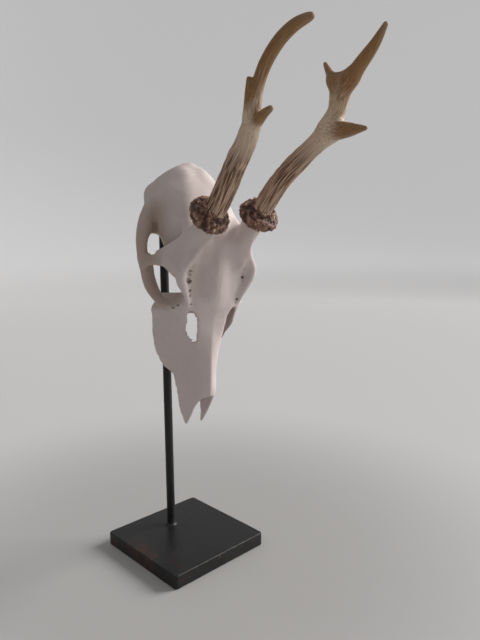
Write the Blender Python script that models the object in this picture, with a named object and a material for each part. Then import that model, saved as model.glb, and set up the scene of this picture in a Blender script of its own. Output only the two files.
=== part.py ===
"""A roe deer skull with its antlers, nose down on a steel rod over a square steel base plate.

The bones are drawn in the skull's own frame, in millimetres: `along` runs from the tips of the
premaxillae to the back of the head, `up` runs from the mouth side to the forehead, and `out` runs
from the midline to the deer's left. One empty tips and turns the whole skull onto its stand.
"""

import math

import bmesh
import bpy
from mathutils import Euler, Matrix, Vector

MM = 0.001
GAP = 0.3  # clearance between neighbouring solids

# Stand
PLATE_SIDE = 100.0
PLATE_THICKNESS = 12.0
PLATE_CORNER_RADIUS = 3.0
PLATE_EDGE_RADIUS = 1.2
ROD_DIAMETER = 7.5
ROD_OFFSET_BACK = 21.2
ARM_HEIGHT = 321.5
ARM_BEND_RADIUS = 13.0
ARM_BEND_STEPS = 8
ARM_FOOT = 2.0  # straight length of the arm under its bend
ARM_REACH = 43.0  # from the rod's axis to the arm's end, inside the braincase

# Pose of the skull on the stand
SKULL_PLACE = (-2.2, -16.9, 120.6)
SKULL_TILT = -6.1
SKULL_ROLL = 0.4
SKULL_TURN = -11.2

# Braincase: along, half width, height of the widest level, top, underside
BRAINCASE = (
    (105.0, 12.0, 28.0, 47.0, 13.0),
    (114.0, 13.0, 29.0, 52.0, 11.0),
    (124.0, 15.5, 30.0, 56.0, 9.5),
    (134.0, 21.5, 31.0, 59.0, 8.5),
    (144.0, 26.0, 30.0, 61.0, 8.0),
    (155.0, 29.4, 27.5, 62.0, 7.5),
    (166.0, 31.4, 25.0, 61.3, 7.0),
    (177.0, 32.0, 22.5, 55.6, 6.0),
    (187.0, 31.2, 20.5, 48.2, 5.0),
    (195.0, 28.6, 19.5, 42.2, 5.0),
    (202.0, 24.2, 19.0, 36.2, 6.0),
    (208.0, 18.8, 19.5, 31.8, 9.0),
    (212.5, 12.4, 21.0, 27.5, 13.0),
    (215.5, 5.5, 22.0, 24.5, 19.0),
)
BRAINCASE_ROUNDNESS = 2.05

# Forehead roof between the eyes: along, half width, top, thickness
FOREHEAD = (
    (94.0, 15.0, 46.0, 4.0),
    (99.0, 18.5, 48.2, 5.0),
    (106.0, 22.5, 51.0, 6.0),
    (114.0, 26.0, 54.3, 7.0),
    (122.0, 30.0, 57.0, 7.5),
    (129.0, 31.0, 59.2, 8.0),
    (136.0, 28.5, 61.2, 8.5),
    (144.0, 24.0, 62.8, 9.0),
    (154.0, 21.5, 64.2, 9.5),
    (163.0, 17.0, 63.5, 8.0),
)
FOREHEAD_ROUNDNESS = 3.2

# Block of the lacrimal and upper jaw in front of the eye: along, half width, level, top, underside
EYE_FRONT = (
    (97.0, 23.5, 20.0, 41.0, 6.0),
    (101.0, 27.0, 20.0, 45.5, 3.0),
    (104.5, 29.0, 20.0, 48.0, 2.0),
    (108.0, 26.5, 22.0, 50.5, 6.0),
    (112.0, 20.0, 26.0, 52.0, 12.0),
)
EYE_FRONT_ROUNDNESS = 3.0

# Nose shell: along, ridge height, shoulder (out, up), cheek (out, up), sawn edge (out, up)
NOSE = (
    (103.0, 50.0, 23.0, 48.0, 29.0, 32.0, 30.5, -2.0),
    (95.0, 48.0, 23.6, 43.4, 28.0, 28.0, 30.3, -3.0),
    (86.0, 45.5, 20.6, 40.4, 25.0, 24.5, 30.1, -4.0),
    (77.0, 43.2, 14.2, 37.6, 19.8, 21.0, 30.0, -4.2),
    (69.0, 41.5, 10.8, 36.0, 16.2, 19.0, 29.2, -4.2),
    (60.0, 39.9, 9.4, 34.0, 13.8, 17.6, 26.6, -3.8),
    (52.0, 38.7, 8.8, 32.6, 12.5, 16.4, 22.6, -2.6),
    (46.0, 37.8, 8.6, 31.4, 11.9, 15.2, 16.2, -1.2),
    (41.0, 37.0, 8.5, 30.6, 11.6, 14.2, 14.8, -0.5),
    (31.0, 34.8, 8.3, 28.6, 11.2, 12.5, 13.6, 0.0),
    (17.0, 26.5, 7.6, 20.0, 10.0, 10.0, 11.6, -1.0),
    (1.0, 15.0, 6.8, 11.0, 7.8, 6.5, 8.5, 1.0),
)
NOSE_WALL = 2.2
# What is open at the nostrils, as (along, up) seen from the side
NOSTRIL = (
    (-12.0, -10.0),
    (1.0, 2.6),
    (7.0, 8.6),
    (14.0, 15.4),
    (21.0, 22.2),
    (25.6, 27.4),
    (27.6, 31.6),
    (28.2, 37.0),
    (28.6, 60.0),
    (-12.0, 60.0),
)
# The gap in the bone beside the nasals, as (along, out) seen from above, and how deep it is cut
SIDE_OPENING = (
    (98.6, 16.6),
    (99.3, 20.2),
    (96.4, 21.2),
    (91.0, 20.7),
    (87.2, 20.9),
    (84.4, 20.3),
    (80.9, 17.8),
    (79.0, 17.2),
    (76.6, 14.8),
    (74.2, 13.4),
    (74.4, 11.0),
    (80.0, 11.3),
    (90.0, 12.7),
    (94.0, 13.9),
)
SIDE_OPENING_REACH = (28.0, 60.0)  # up

# Nasal bones: half width at the tip and at the forehead
NASAL_TIP = (30.0, 6.6)
NASAL_ROOT = (103.0, 14.2)

# Eye ring, cheek arch and bar behind the eye: along, up, out, then half width and half thickness
EYE_RING = (
    (105.5, 47.0, 23.0, 2.6, 1.8),
    (102.6, 41.0, 26.8, 4.2, 2.2),
    (104.4, 30.0, 31.0, 5.2, 2.2),
    (110.6, 17.8, 33.0, 5.4, 2.1),
    (118.5, 12.2, 35.0, 5.8, 2.2),
    (127.0, 11.8, 37.2, 5.8, 2.4),
    (136.0, 12.8, 38.6, 6.0, 2.8),
    (143.0, 15.0, 40.6, 6.0, 3.2),
)
CHEEK_ARCH = (
    (136.0, 14.5, 41.6, 3.4, 2.8),
    (143.0, 15.6, 42.8, 5.2, 3.6),
    (150.0, 16.5, 43.0, 5.6, 4.0),
    (158.0, 16.5, 41.8, 5.8, 4.6),
    (166.0, 16.5, 39.5, 5.8, 5.4),
    (173.0, 16.0, 36.6, 5.6, 5.6),
    (180.0, 15.6, 33.6, 5.4, 5.0),
    (187.0, 16.0, 29.6, 4.9, 4.8),
    (190.0, 15.5, 25.0, 4.8, 4.8),
)
# Shelf that joins the arch to the side of the braincase, over the jaw joint
JAW_SHELF = (
    (157.0, 15.5, 31.0, 11.0, 2.4),
    (163.0, 14.5, 32.0, 11.0, 2.8),
    (169.0, 13.0, 31.0, 10.5, 3.4),
    (176.0, 13.0, 29.5, 9.0, 4.0),
    (186.0, 13.5, 27.0, 7.5, 5.0),
)
# The gap between cheek arch and braincase: centre, then half sizes
TEMPORAL_GAP = ((152.3, 15.0, 31.8), (9.5, 20.0, 8.2))
BROW = (
    (105.0, 49.3, 23.0, 1.6),
    (110.0, 51.8, 24.6, 1.8),
    (115.0, 54.0, 26.8, 2.0),
    (119.0, 55.8, 29.0, 2.2),
    (123.5, 57.6, 31.0, 2.3),
    (129.0, 59.8, 31.2, 2.4),
    (134.0, 61.6, 28.6, 2.5),
    (140.0, 63.8, 24.6, 2.4),
    (147.0, 67.4, 20.5, 2.3),
    (154.0, 71.5, 17.0, 2.2),
)
# Roof over the back of the eye, under the brow
EYE_ROOF = (
    (121.0, 52.4, 28.4, 3.0),
    (127.0, 54.3, 30.8, 3.3),
    (131.5, 50.3, 33.8, 3.5),
    (136.8, 44.0, 36.0, 3.2),
)
EYE_BAR = (
    (143.5, 61.0, 21.5, 12.0, 2.6),
    (141.0, 52.0, 29.5, 10.0, 2.3),
    (140.2, 40.0, 35.5, 6.2, 2.2),
    (140.2, 28.0, 39.6, 4.4, 2.2),
    (140.4, 18.0, 42.0, 4.8, 2.6),
)
# Front edge of the temporal hollow, from the bar up to the back of the pedicle
FRONT_CREST = (
    (146.0, 34.0, 37.0, 1.8),
    (149.0, 44.0, 33.0, 2.2),
    (153.0, 55.0, 28.5, 2.4),
    (159.0, 67.0, 23.5, 2.4),
)
CREST = (
    (190.0, 10.0, 30.0, 4.2),
    (197.0, 11.5, 28.0, 3.6),
    (203.0, 14.5, 23.5, 2.9),
    (208.0, 18.0, 16.4, 2.3),
    (211.4, 21.0, 9.0, 1.9),
    (213.0, 22.5, 0.0, 1.6),
)
TEMPORAL_LINE = (
    (160.0, 57.0, 22.0, 2.6),
    (168.0, 49.4, 18.8, 2.8),
    (178.0, 44.8, 15.6, 2.8),
    (188.0, 38.9, 12.2, 2.6),
    (197.0, 33.2, 9.6, 2.4),
    (206.0, 27.4, 7.6, 2.2),
)
EAR_BOSS = (194.0, 11.0, 28.8, 5.2)  # along, up, out, radius
EAR_BULLA = (175.0, 8.0, 16.5, 8.5)
CONDYLE = (207.0, 10.0, 10.5, 6.2)
PEDICLE = ((144.0, 57.0, 19.0, 8.6), (153.0, 69.0, 20.0, 8.4), (166.5, 84.5, 20.6, 8.4))
FORAMEN = ((213.0, -6.0), (190.0, 33.0))  # (along, up) of the two ends of the spinal hole
FORAMEN_HALF_WIDTH = 8.6

# Antlers: along, up, out, half width of the beam there
BEAM_RIGHT = (
    (166.5, 84.5, 20.5, 8.2),
    (173.0, 97.0, 19.6, 7.6),
    (184.0, 109.0, 19.0, 7.5),
    (196.0, 124.0, 20.2, 7.3),
    (204.0, 143.0, 24.6, 6.5),
    (213.0, 156.0, 28.0, 5.6),
    (226.0, 166.5, 31.1, 3.9),
    (238.0, 176.5, 31.7, 3.8),
    (247.0, 189.0, 30.5, 3.7),
    (251.2, 201.0, 29.0, 3.4),
    (251.8, 211.4, 27.4, 2.5),
    (251.6, 213.6, 26.9, 1.4),
)
FRONT_TINE_RIGHT = ((211.0, 157.5, 28.0, 4.4), (213.4, 169.5, 29.8, 3.0), (214.6, 179.3, 31.0, 1.9))
REAR_TINE_RIGHT = ((216.0, 158.0, 30.0, 4.4), (226.0, 163.5, 33.4, 3.1), (233.6, 168.0, 36.5, 1.4))
BEAM_LEFT = (
    (166.0, 86.0, 20.5, 7.6),
    (174.0, 96.0, 20.6, 7.3),
    (185.5, 108.5, 23.0, 7.0),
    (195.5, 120.5, 27.2, 6.9),
    (204.5, 136.5, 30.5, 6.5),
    (213.0, 151.0, 33.6, 6.3),
    (224.0, 159.5, 35.4, 5.9),
    (233.0, 166.5, 34.8, 4.9),
    (240.0, 175.0, 34.8, 4.8),
    (245.5, 184.0, 34.0, 4.5),
    (252.8, 197.6, 33.1, 3.3),
    (260.2, 207.6, 32.1, 1.6),
)
FRONT_TINE_LEFT = ((213.5, 155.0, 33.5, 7.0), (209.8, 173.0, 32.2, 4.6), (206.8, 189.5, 31.0, 1.4))
REAR_TINE_LEFT = (
    (232.0, 163.0, 34.7, 5.3),
    (241.0, 160.0, 35.6, 4.3),
    (250.0, 154.0, 37.0, 2.7),
    (258.8, 147.8, 38.8, 1.5),
)
# Antler that fills the upper fork of the left beam
CROTCH_LEFT = ((244.6, 158.5, 35.8, 3.2), (243.4, 167.0, 35.2, 4.2), (241.8, 174.5, 34.7, 4.0))
BURR_RADIUS = 16.0
BURR_HEIGHT = 9.0
BURR_KNOBS = 9
BURR_KNOB_SWELL = 0.06
BURR_TWIST = 7.0
# Height over the foot, radius and size of the knobs, as shares of the burr's own sizes
BURR_PROFILE = (
    (-0.30, 0.55, 0.0),
    (-0.22, 0.84, 0.4),
    (0.10, 1.0, 1.0),
    (0.42, 0.97, 1.0),
    (0.68, 0.78, 0.6),
    (0.90, 0.52, 0.0),
)

# Where the bones are parted
FACE_SEAM = 103.0  # along: the nose ends and the forehead begins
MIDLINE_SEAM = 0.5  # half the gap between the right and left bones of the nose
ARCH_SEAM = 34.5  # out: the cheek arches begin
HEAD_SEAM = ((128.0, 0.0), (168.0, 60.0))  # (along, up) line between forehead and braincase
NOSE_TIP_SEAM = ((36.0, 0.0), (46.0, 30.0))  # (along, up) line between premaxilla and maxilla
# Where the antlers are parted: distance in mm from the tine's root, half width of the tine's box
TOP_TINE_SEAM = (4.0, 14.0)
TOP_FORK = 7  # row of the beam where the rear tine leaves it
BURR_SEAM = (6.5, 20.0)
PEDICLE_SEAM = (2.4, 20.0)  # below the foot of the antler
# The side tines: a point in the beam, a point square off it towards the tine, then as above
FRONT_SPLIT_RIGHT = ((220.0, 161.5, 29.3), (211.8, 171.9, 29.0), (5.7, 14.0))
FRONT_SPLIT_LEFT = ((219.0, 156.0, 33.3), (198.3, 183.4, 29.9), (6.3, 16.0))
REAR_SPLIT_RIGHT = ((231.5, 171.1, 31.0), (233.6, 168.0, 36.5), (5.0, 14.0))
REAR_SPLIT_LEFT = ((236.0, 166.0, 34.5), (260.0, 147.0, 39.0), (7.5, 7.0))

# Meshing
BALL_FINENESS = 3
FORAMEN_SIDES = 24
PLATE_CORNER_STEPS = 3
PLATE_EDGE_STEPS = 1
PLATE_EDGE_ANGLE = 60.0  # degrees: only edges sharper than this are softened
ROD_FINENESS = 4
BAR_SEAM_WAY = (0.3, 0.2, 1.0)  # the side of a round bar on which its points begin
SMOOTHING_SHARE = 0.5
CRANIUM_VOXEL = 1.5
ANTLER_VOXEL = 1.3
CRANIUM_SMOOTHING = 4
ANTLER_SMOOTHING = 2
CRANIUM_TRIANGLES = 3900
ANTLER_TRIANGLES = 760
RING_SIDES = 32
RIBBON_SIDES = 12
LOFT_STEPS = 3
WELD = 0.002  # points nearer than this are one point
# Finishes: colour, roughness, metallic
BONE_FINISH = ((0.72, 0.66, 0.61), 0.55, 0.0)
ANTLER_FINISH = ((0.24, 0.15, 0.09), 0.5, 0.0)
STEEL_FINISH = ((0.03, 0.028, 0.028), 0.4, 0.9)
FAR = 200.0  # reach of a cutter that has to pass right through the skull


def skull_point(along, up, out):
    """A point of the skull's frame, in metres."""
    return Vector((out, -up, along)) * MM


def clear_scene():
    for thing in list(bpy.data.objects):
        bpy.data.objects.remove(thing, do_unlink=True)


def material(name, colour, roughness, metallic):
    """A plain material with the colour, roughness and metallic value of one finish."""
    made = bpy.data.materials.new(name)
    made.use_nodes = True
    shader = made.node_tree.nodes["Principled BSDF"]
    shader.inputs["Base Color"].default_value = (*colour, 1.0)
    shader.inputs["Roughness"].default_value = roughness
    shader.inputs["Metallic"].default_value = metallic
    return made


def mesh_object(name, bm):
    """An object holding the given bmesh, with its faces pointing out."""
    bmesh.ops.recalc_face_normals(bm, faces=bm.faces)
    mesh = bpy.data.meshes.new(name)
    bm.to_mesh(mesh)
    bm.free()
    made = bpy.data.objects.new(name, mesh)
    bpy.context.collection.objects.link(made)
    return made


def evaluated(thing):
    """Applies the modifiers of an object to its mesh."""
    graph = bpy.context.evaluated_depsgraph_get()
    mesh = bpy.data.meshes.new_from_object(thing.evaluated_get(graph))
    thing.modifiers.clear()
    thing.data = mesh
    return thing


def spline(rows, steps):
    """Rows of numbers along a smooth curve through the given rows, with `steps` per stretch."""
    out = []
    last = len(rows) - 1
    for start in range(last):
        before = rows[max(start - 1, 0)]
        here = rows[start]
        there = rows[start + 1]
        after = rows[min(start + 2, last)]
        for step in range(steps):
            t = step / steps
            out.append(tuple(catmull(a, b, c, d, t) for a, b, c, d in zip(before, here, there, after)))
    out.append(tuple(rows[last]))
    return out


def catmull(before, here, there, after, t):
    """Catmull-Rom value between `here` and `there`."""
    linear = there - before
    square = 2.0 * before - 5.0 * here + 4.0 * there - after
    cube = 3.0 * here - before - 3.0 * there + after
    return here + 0.5 * t * (linear + t * (square + t * cube))


def loft(name, rings):
    """A closed body through rings of points, capped at both ends."""
    bm = bmesh.new()
    loops = [[bm.verts.new(point) for point in ring] for ring in rings]
    count = len(rings[0])
    for near, far in zip(loops, loops[1:]):
        for side in range(count):
            following = (side + 1) % count
            bm.faces.new((near[side], near[following], far[following], far[side]))
    bm.faces.new(loops[0])
    bm.faces.new(reversed(loops[-1]))
    return mesh_object(name, bm)


def power(value, exponent):
    return math.copysign(abs(value) ** exponent, value)


def oval(along, half_width, level, top, underside, roundness):
    """A ring across the skull, widest at `level`."""
    ring = []
    for side in range(RING_SIDES):
        angle = 2.0 * math.pi * side / RING_SIDES
        out = half_width * power(math.cos(angle), 2.0 / roundness)
        lift = power(math.sin(angle), 2.0 / roundness)
        reach = top - level if lift > 0.0 else level - underside
        ring.append(skull_point(along, level + reach * lift, out))
    return ring


def ribbon(name, rows, flat_direction, mirror):
    """A tube of oval section: each row is (along, up, out, half width, half thickness)."""
    rows = spline(rows, LOFT_STEPS)
    points = [skull_point(row[0], row[1], mirror * row[2]) for row in rows]
    rings = []
    for index, row in enumerate(rows):
        ahead = points[min(index + 1, len(points) - 1)]
        behind = points[max(index - 1, 0)]
        tangent = (ahead - behind).normalized()
        wide = (flat_direction - tangent * flat_direction.dot(tangent)).normalized()
        thick = tangent.cross(wide)
        ring = []
        for side in range(RIBBON_SIDES):
            angle = 2.0 * math.pi * side / RIBBON_SIDES
            offset = wide * math.cos(angle) * row[3] + thick * math.sin(angle) * row[4]
            ring.append(points[index] + offset * MM)
        rings.append(ring)
    return loft(name, rings)


def round_bar(name, rows, mirror):
    """A round tube: each row is (along, up, out, radius)."""
    return ribbon(name, [(*row, row[3]) for row in rows], Vector(BAR_SEAM_WAY), mirror)


def ball(name, row, mirror):
    along, up, out, radius = row
    bm = bmesh.new()
    place = Matrix.Translation(skull_point(along, up, mirror * out))
    bmesh.ops.create_icosphere(bm, subdivisions=BALL_FINENESS, radius=radius * MM, matrix=place)
    return mesh_object(name, bm)


def block(name, frame, half_sizes):
    """A box with the given half sizes in millimetres, placed by a matrix in metres."""
    bm = bmesh.new()
    sizes = Matrix.Diagonal((*(2.0 * half * MM for half in half_sizes), 1.0))
    bmesh.ops.create_cube(bm, size=1.0, matrix=frame @ sizes)
    return mesh_object(name, bm)


def slab(name, outline, low, high):
    """A prism: an outline of (along, up) points, from `low` to `high` in the out direction."""
    rings = [[skull_point(along, up, out) for along, up in outline] for out in (low, high)]
    return loft(name, rings)


def shaft(name, outline, low, high, mirror):
    """A prism: an outline of (along, out) points, from `low` to `high` in the up direction."""
    rings = [[skull_point(along, up, mirror * out) for along, out in outline] for up in (low, high)]
    return loft(name, rings)


def fuse(name, pieces, voxel, smoothing, triangles):
    """Joins overlapping bodies into one skin, softens the joins and thins the mesh."""
    bm = bmesh.new()
    for piece in pieces:
        bm.from_mesh(piece.data)
        bpy.data.objects.remove(piece, do_unlink=True)
    made = mesh_object(name, bm)
    remesh = made.modifiers.new("one skin", "REMESH")
    remesh.mode = "VOXEL"
    remesh.voxel_size = voxel * MM
    soften = made.modifiers.new("soft joins", "SMOOTH")
    soften.factor = SMOOTHING_SHARE
    soften.iterations = smoothing
    evaluated(made)
    thin(made, triangles)
    return made


def thin(thing, triangles):
    """Reduces an object to about the given number of triangles."""
    thing.data.calc_loop_triangles()
    ratio = triangles / len(thing.data.loop_triangles)
    if ratio < 1.0:
        fewer = thing.modifiers.new("fewer faces", "DECIMATE")
        fewer.ratio = ratio
        evaluated(thing)


def combine(thing, cutter, operation):
    """Cuts an object with a closed cutter, or keeps what lies inside it."""
    cut = thing.modifiers.new("cut", "BOOLEAN")
    cut.operation = operation
    cut.solver = "EXACT"
    cut.object = cutter
    evaluated(thing)
    bpy.data.objects.remove(cutter, do_unlink=True)
    bm = bmesh.new()
    bm.from_mesh(thing.data)
    bmesh.ops.remove_doubles(bm, verts=bm.verts, dist=WELD * MM)
    bmesh.ops.dissolve_degenerate(bm, edges=bm.edges, dist=WELD * MM)
    bmesh.ops.triangulate(bm, faces=bm.faces)
    bm.to_mesh(thing.data)
    bm.free()
    return thing


def copy_of(thing, name):
    made = bpy.data.objects.new(name, thing.data.copy())
    bpy.context.collection.objects.link(made)
    return made


def largest_body(thing):
    """Drops every loose crumb but the largest body of a mesh."""
    bm = bmesh.new()
    bm.from_mesh(thing.data)
    unseen = set(bm.verts)
    bodies = []
    while unseen:
        body = {unseen.pop()}
        edge_of_body = list(body)
        while edge_of_body:
            vertex = edge_of_body.pop()
            for edge in vertex.link_edges:
                other = edge.other_vert(vertex)
                if other in unseen:
                    unseen.remove(other)
                    body.add(other)
                    edge_of_body.append(other)
        bodies.append(body)
    bodies.sort(key=len)
    for crumb in bodies[:-1]:
        bmesh.ops.delete(bm, geom=list(crumb), context="VERTS")
    bm.to_mesh(thing.data)
    bm.free()
    return thing


def split_off(whole, name, region):
    """Parts the piece inside a region from a whole, with a clear gap. region(grow) makes the cutter."""
    piece = combine(copy_of(whole, name), region(0.0), "INTERSECT")
    combine(whole, region(GAP), "DIFFERENCE")
    return largest_body(piece)


def side_region(inner):
    """Everything further out than `inner` on one side; the sign of `inner` is the side."""

    def region(grow):
        direction = math.copysign(1.0, inner)
        middle = inner + direction * (FAR - grow) / 2.0
        frame = Matrix.Translation(skull_point(FACE_SEAM, 0.0, middle))
        return block("region", frame, ((FAR + grow) / 2.0, FAR, FAR))

    return region


def slant_region(line, far):
    """Everything on the far side of a slanting line of (along, up), right across the skull."""
    (along_a, up_a), (along_b, up_b) = line
    run = Vector((along_b - along_a, up_b - up_a)).normalized()
    across = Vector((-run.y, run.x)) * far

    def region(grow):
        start = Vector((along_a, up_a)) - run * FAR - across * grow
        end = Vector((along_b, up_b)) + run * FAR - across * grow
        outline = (start, end, end + across * FAR, start + across * FAR)
        return slab("region", outline, -FAR, FAR)

    return region


def tine_region(base, tip, mirror, seam):
    """A box round a tine: seam is its start on the way from base to tip, and its half width."""
    root = skull_point(base[0], base[1], mirror * base[2])
    way = skull_point(tip[0], tip[1], mirror * tip[2]) - root
    start, width = seam
    end = way.length / MM + BURR_RADIUS

    def region(grow):
        from_root = start - grow
        half = (end - from_root) / 2.0
        turn = way.to_track_quat("Z", "Y").to_matrix().to_4x4()
        middle = root + way.normalized() * (from_root + half) * MM
        return block("region", Matrix.Translation(middle) @ turn, (width + grow, width + grow, half))

    return region


def mirrored(side):
    return {"right": -1.0, "left": 1.0}[side]


def cranium():
    """Braincase, forehead, pedicles and the bone round both eyes, as one skin."""
    along_axis = Vector((0.0, 0.0, 1.0))
    up_axis = Vector((0.0, -1.0, 0.0))
    out_axis = Vector((1.0, 0.0, 0.0))
    rings = [oval(*row, BRAINCASE_ROUNDNESS) for row in spline(BRAINCASE, LOFT_STEPS)]
    pieces = [loft("braincase", rings)]
    roof = []
    for along, half_width, top, thickness in spline(FOREHEAD, LOFT_STEPS):
        middle = top - thickness / 2.0
        roof.append(oval(along, half_width, middle, top, top - thickness, FOREHEAD_ROUNDNESS))
    pieces.append(loft("forehead", roof))
    front = [oval(*row, EYE_FRONT_ROUNDNESS) for row in spline(EYE_FRONT, LOFT_STEPS)]
    pieces.append(loft("eye front", front))
    for mirror in (-1.0, 1.0):
        pieces.append(ribbon("eye ring", EYE_RING, out_axis, mirror))
        arch = [ribbon("cheek arch", CHEEK_ARCH, up_axis, mirror)]
        arch.append(ribbon("eye bar", EYE_BAR, along_axis, mirror))
        arch.append(ribbon("jaw shelf", JAW_SHELF, out_axis, mirror))
        pieces += [combine(piece, temporal_gap(mirror), "DIFFERENCE") for piece in arch]
        pieces.append(round_bar("brow", BROW, mirror))
        pieces.append(round_bar("eye roof", EYE_ROOF, mirror))
        pieces.append(round_bar("front crest", FRONT_CREST, mirror))
        pieces.append(round_bar("crest", CREST, mirror))
        pieces.append(round_bar("temporal line", TEMPORAL_LINE, mirror))
        pieces.append(round_bar("pedicle", PEDICLE, mirror))
        pieces.append(ball("ear boss", EAR_BOSS, mirror))
        pieces.append(ball("ear bulla", EAR_BULLA, mirror))
        pieces.append(ball("condyle", CONDYLE, mirror))
    made = fuse("cranium", pieces, CRANIUM_VOXEL, CRANIUM_SMOOTHING, CRANIUM_TRIANGLES)
    combine(made, foramen_cutter(), "DIFFERENCE")
    for mirror, beam in ((-1.0, BEAM_RIGHT), (1.0, BEAM_LEFT)):
        depth, width = PEDICLE_SEAM
        combine(made, tine_region(beam[0], beam[1], mirror, (-depth, width))(GAP), "DIFFERENCE")
    return made


def temporal_gap(mirror):
    """The egg-shaped space between a cheek arch and the braincase."""
    (along, up, out), (long_half, high_half, wide_half) = TEMPORAL_GAP
    sizes = Matrix.Diagonal((wide_half * MM, high_half * MM, long_half * MM, 1.0))
    bm = bmesh.new()
    place = Matrix.Translation(skull_point(along, up, mirror * out)) @ sizes
    bmesh.ops.create_icosphere(bm, subdivisions=BALL_FINENESS, radius=1.0, matrix=place)
    return mesh_object("temporal gap", bm)


def foramen_cutter():
    """The spinal hole at the back of the head, as a slanting round plug."""
    (outer_along, outer_up), (inner_along, inner_up) = FORAMEN
    start = skull_point(outer_along, outer_up, 0.0)
    end = skull_point(inner_along, inner_up, 0.0)
    turn = (end - start).to_track_quat("Z", "Y").to_matrix().to_4x4()
    frame = Matrix.Translation((start + end) / 2.0) @ turn
    bm = bmesh.new()
    bmesh.ops.create_cone(
        bm,
        cap_ends=True,
        segments=FORAMEN_SIDES,
        radius1=FORAMEN_HALF_WIDTH * MM,
        radius2=FORAMEN_HALF_WIDTH * MM,
        depth=(end - start).length,
        matrix=frame,
    )
    return mesh_object("foramen", bm)


def nose_profile(row):
    """The wall of the nose across the skull, as outer and inner points from right edge to left edge."""
    ridge, shoulder_out, shoulder_up, cheek_out, cheek_up, edge_out, edge_up = row[1:]
    half = ((0.0, ridge), (shoulder_out, shoulder_up), (cheek_out, cheek_up), (edge_out, edge_up))
    full = [(-out, up) for out, up in reversed(half[1:])] + list(half)
    outer = [Vector(point) for point in spline(full, LOFT_STEPS)]
    inner = []
    for index, point in enumerate(outer):
        ahead = outer[min(index + 1, len(outer) - 1)]
        behind = outer[max(index - 1, 0)]
        run = (ahead - behind).normalized()
        inner.append(point + Vector((run.y, -run.x)) * NOSE_WALL)
    return outer, inner


def nose():
    """The hollow nose, open below where the palate is sawn away and in front at the nostrils."""
    rings = []
    for row in NOSE:
        outer, inner = nose_profile(row)
        rings.append([skull_point(row[0], point.y, point.x) for point in outer + inner[::-1]])
    return combine(loft("nose", rings), slab("nostril", NOSTRIL, -FAR, FAR), "DIFFERENCE")


def nasal_region(grow):
    """A wedge over the midline of the nose, from the nasal tips to the forehead."""
    (tip_along, tip_half), (root_along, root_half) = NASAL_TIP, NASAL_ROOT
    slope = (root_half - tip_half) / (root_along - tip_along)
    rings = []
    for along in (-tip_along, FACE_SEAM + tip_along):
        half = tip_half + slope * (along - tip_along) + grow
        corners = ((0.0, -half), (0.0, half), (FAR, half), (FAR, -half))
        rings.append([skull_point(along, up, out) for up, out in corners])
    return loft("region", rings)


def burr(name, foot, way, mirror):
    """The knobbly collar at the foot of an antler."""
    turn = way.to_track_quat("Z", "Y").to_matrix()
    rings = []
    sides = 4 * BURR_KNOBS
    for height, radius, knob in BURR_PROFILE:
        ring = []
        for side in range(sides):
            angle = 2.0 * math.pi * side / sides
            wave = math.cos(BURR_KNOBS * angle * mirror + BURR_TWIST * height)
            swell = 1.0 + knob * BURR_KNOB_SWELL * wave
            reach = BURR_RADIUS * radius * swell * MM
            flat = Vector((math.cos(angle) * reach, math.sin(angle) * reach, height * BURR_HEIGHT * MM))
            ring.append(foot + turn @ flat)
        rings.append(ring)
    return loft(name, rings)


def antler(side, beam, side_tines, webs, splits):
    """One antler, split at its burr and at its main forks. Returns its pieces."""
    mirror = mirrored(side)
    foot, following = (skull_point(along, up, mirror * out) for along, up, out, _ in beam[:2])
    pieces = [round_bar("bar", rows, mirror) for rows in (beam, *side_tines, *webs)]
    pieces.append(burr("burr", foot, following - foot, mirror))
    name = f"antler_{side}"
    whole = fuse(f"{name}_beam", pieces, ANTLER_VOXEL, ANTLER_SMOOTHING, ANTLER_TRIANGLES)
    depth, width = PEDICLE_SEAM
    below = ((following - foot).length / MM + depth, width)
    combine(whole, tine_region(beam[1], beam[0], mirror, below)(0.0), "DIFFERENCE")
    cuts = (
        ("front_tine", *splits[0]),
        ("rear_tine", *splits[1]),
        ("top_tine", beam[TOP_FORK], beam[-1], TOP_TINE_SEAM),
        ("burr", beam[1], beam[0], BURR_SEAM),
    )
    parts = []
    for part, base, tip, seam in cuts:
        parts.append(split_off(whole, f"{name}_{part}", tine_region(base, tip, mirror, seam)))
    return [*parts, largest_body(whole)]


def skull():
    """All bones, each in its own object. Returns the bones."""
    whole = cranium()
    face_seam = ((FACE_SEAM, 0.0), (FACE_SEAM, 1.0))
    combine(whole, slant_region(face_seam, 1.0)(GAP), "DIFFERENCE")
    bones = []
    for side in ("right", "left"):
        mirror = mirrored(side)
        bones.append(split_off(whole, f"cheek_arch_{side}", side_region(mirror * ARCH_SEAM)))
    forehead = split_off(whole, "forehead", slant_region(HEAD_SEAM, 1.0))
    whole.name = "braincase"
    bones += [forehead, largest_body(whole)]
    shell = nose()
    bones.append(split_off(shell, "nasal_bones", nasal_region))
    for side in ("right", "left"):
        mirror = mirrored(side)
        half = split_off(shell, f"maxilla_{side}", side_region(mirror * MIDLINE_SEAM))
        opening = shaft("side opening", SIDE_OPENING, *SIDE_OPENING_REACH, mirror)
        combine(half, opening, "DIFFERENCE")
        bones.append(split_off(half, f"premaxilla_{side}", slant_region(NOSE_TIP_SEAM, 1.0)))
        bones.append(largest_body(half))
    bpy.data.objects.remove(shell, do_unlink=True)
    return bones


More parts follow.
